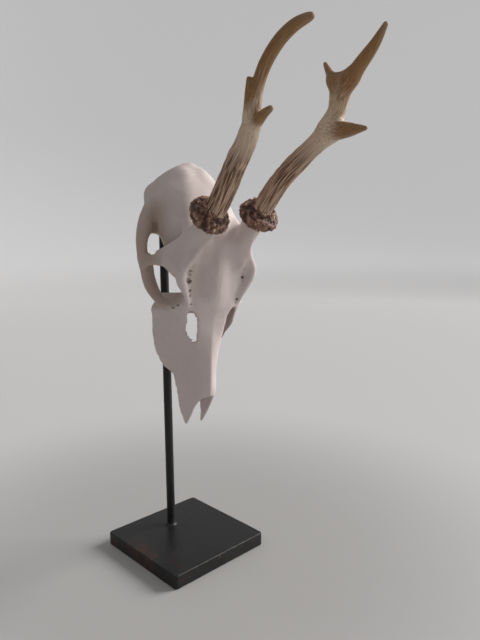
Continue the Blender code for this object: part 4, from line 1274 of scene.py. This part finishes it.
def studio_floor(settings):
    """A pale floor that curves up into a wall far away on all sides."""
    edge = settings.floor_radius
    profile = [(FLOOR_MIDDLE, 0.0), (edge, 0.0)]
    for step in range(1, WALL_STEPS + 1):
        angle = math.pi / 2.0 * step / WALL_STEPS
        lift = FLOOR_CURVE * (1.0 - math.cos(angle))
        profile.append((edge + FLOOR_CURVE * math.sin(angle), lift))
    profile.append((edge + FLOOR_CURVE, WALL_TOP))
    bm = bmesh.new()
    rings = [[(x * reach, y * reach, z) for x, y in circle(FLOOR_SIDES)] for reach, z in profile]
    add_loft(bm, rings, closed=False)
    made = piece_from("studio_floor", bm)
    made.data.flip_normals()
    made.data.shade_smooth()
    made.visible_shadow = False
    made.data.materials.append(floor_material(settings))
    return made


def floor_material(settings):
    """A matt floor, paler far from the object, and a wall that glows with painted light; floor and wall are
    painted dark on one side as painted shade.
    """
    made, tree, shader = new_material("pale_floor")
    place = object_place(tree)
    spot = add_node(tree, "SeparateXYZ", Vector=place).outputs
    floor, wall, black = tuple(settings.floor_colour), tuple(settings.wall_colour), (0.0, 0.0, 0.0)
    climb = band(tree, spot["Z"], -0.02, 0.13)
    away = add_node(tree, "VectorMath", {"operation": "LENGTH"}, Vector=place).outputs["Value"]
    near = mixed(tree, mottle(tree, place, 3.0, 1.0), floor, shaded(0.95, floor))
    pale = mixed(tree, band(tree, away, 0.12, 0.42), near, shaded(0.90, wall))
    # Painted shade: floor and wall are painted dark, without glow, towards SHADE_WAY
    aside = times_add(tree, spot["Y"], SHADE_WAY[1], times(tree, spot["X"], SHADE_WAY[0]))
    shade = band(tree, aside, 0.2, 1.6)
    # Where the floor climbs into the wall its colour drops to a third, and the wall's painted light makes it
    # pale
    lit = mixed(tree, climb, pale, shaded(0.3, wall))
    feed(
        tree,
        shader,
        Base_Color=mixed(tree, shade, lit, shaded(0.15, wall)),
        Roughness=0.7,
        # Painted light: the wall glows by its own emission, outside the painted shade
        Emission_Color=mixed(tree, shade, mixed(tree, climb, black, wall), black),
        Emission_Strength=settings.wall_painted_light,
    )
    return made


def soft_sun(name, way, spread, strength):
    """Soft daylight that comes from one way, over a spread in degrees."""
    light = bpy.data.lights.new(name, "SUN")
    light.energy = strength
    light.angle = math.radians(spread)
    light.color = DAYLIGHT
    made = new_object(name, light)
    made.rotation_euler = Vector(way).to_track_quat("Z", "Y").to_euler()
    return made


def sky(strength):
    """Faint cool light from all round."""
    world = bpy.data.worlds.new("studio sky")
    world.use_nodes = True
    light = world.node_tree.nodes["Background"]
    light.inputs["Color"].default_value = (*SKY_COLOUR, 1.0)
    light.inputs["Strength"].default_value = strength
    return world


def photo_camera():
    """The camera at the height and angle from which the skull is seen."""
    data = bpy.data.cameras.new("camera")
    data.sensor_width = SENSOR_WIDTH
    data.lens = CAMERA_LENS
    data.clip_start, data.clip_end = 0.01, 50.0
    made = new_object("camera", data)
    yaw, pitch, roll = CAMERA_TURN
    ahead = Vector((math.sin(yaw) * math.cos(pitch), math.cos(yaw) * math.cos(pitch), -math.sin(pitch)))
    right = Vector((math.cos(yaw), -math.sin(yaw), 0.0))
    above = right.cross(ahead)
    right, above = (
        right * math.cos(roll) + above * math.sin(roll),
        above * math.cos(roll) - right * math.sin(roll),
    )
    turn = Matrix((right, above, -ahead)).transposed()
    made.matrix_world = Matrix.Translation(CAMERA_PLACE) @ turn.to_4x4()
    return made


# ---- Operators, panel and registration ----


def finish_piece(piece, material, slot, *nodes):
    """Gives a piece its material, sets it in the frame and hides the nodes that it stands for."""
    piece.data.materials.clear()
    piece.data.materials.append(material)
    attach(piece, "root")
    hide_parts(*nodes)


class ROE_OT_stand(bpy.types.Operator):
    """Build the base plate and the bent rod"""

    bl_idname = "roe.stand"
    bl_label = "Stand"

    def execute(self, context):
        settings = context.scene.roe_stand
        steel = steel_material(settings)
        finish_piece(base_plate(settings), steel, "steel", "base_plate")
        finish_piece(rod(settings), steel, "steel", "support_rod", "support_arm")
        return {"FINISHED"}


class ROE_OT_skull(bpy.types.Operator):
    """Build the skull in one skin of bone"""

    bl_idname = "roe.skull"
    bl_label = "Skull"

    def execute(self, context):
        settings = context.scene.roe_bone
        pairs = ("cheek_arch", "maxilla", "premaxilla")
        nodes = [f"{bone}_{side}" for bone in pairs for side in ("right", "left")]
        nodes += ["braincase", "forehead", "nasal_bones"]
        finish_piece(skull(settings), bone_material(settings), "bone", *nodes)
        return {"FINISHED"}


class ROE_OT_antlers(bpy.types.Operator):
    """Build both antlers and their burrs"""

    bl_idname = "roe.antlers"
    bl_label = "Antlers"

    def execute(self, context):
        settings = context.scene.roe_antler
        horn, pearls = antler_material(settings), burr_material()
        for side, mirror, beam, tines, webs in (
            ("right", -1.0, BEAM_RIGHT, (FRONT_TINE_RIGHT, REAR_TINE_RIGHT), ()),
            ("left", 1.0, BEAM_LEFT, (FRONT_TINE_LEFT, REAR_TINE_LEFT), (CROTCH_LEFT,)),
        ):
            beam_piece = antler_beam(side, beam, tines, webs, mirror, settings)
            nodes = [f"antler_{side}_{part}" for part in ("beam", "front_tine", "rear_tine", "top_tine")]
            finish_piece(beam_piece, horn, "antler", *nodes)
            finish_piece(burr(side, beam, mirror, settings), pearls, "antler", f"antler_{side}_burr")
        return {"FINISHED"}


class ROE_OT_studio(bpy.types.Operator):
    """Build the pale floor, the soft lights and the camera"""

    bl_idname = "roe.studio"
    bl_label = "Studio"

    def execute(self, context):
        settings = context.scene.roe_studio
        studio_floor(settings)
        soft_sun("window", WINDOW_WAY, WINDOW_SPREAD, settings.key_strength)
        soft_sun("ceiling", CEILING_WAY, CEILING_SPREAD, settings.ceiling_strength)
        context.scene.world = sky(settings.sky_strength)
        context.scene.view_settings.view_transform = "Standard"
        context.scene.camera = photo_camera()
        return {"FINISHED"}


class ROE_PT_panel(bpy.types.Panel):
    bl_label = "Roe skull"
    bl_idname = "ROE_PT_panel"
    bl_space_type = "VIEW_3D"
    bl_region_type = "UI"
    bl_category = "Roe skull"

    def draw(self, context):
        for operator in OPERATORS:
            self.layout.operator(operator.bl_idname)
        for key, group in SETTINGS.items():
            for label in group.__annotations__:
                self.layout.prop(getattr(context.scene, key), label)


OPERATORS = (ROE_OT_stand, ROE_OT_skull, ROE_OT_antlers, ROE_OT_studio)
SETTINGS = {
    "roe_stand": StandSettings,
    "roe_bone": BoneSettings,
    "roe_antler": AntlerSettings,
    "roe_studio": StudioSettings,
}


def register():
    for made in (*SETTINGS.values(), *OPERATORS, ROE_PT_panel):
        bpy.utils.register_class(made)
    for key, settings in SETTINGS.items():
        setattr(bpy.types.Scene, key, PointerProperty(type=settings))


def unregister():
    for key in SETTINGS:
        delattr(bpy.types.Scene, key)
    for made in reversed((*SETTINGS.values(), *OPERATORS, ROE_PT_panel)):
        bpy.utils.unregister_class(made)


def main():
    register()
    bpy.ops.roe.stand()
    bpy.ops.roe.skull()
    bpy.ops.roe.antlers()
    bpy.ops.roe.studio()


if __name__ == "__main__":
    main()
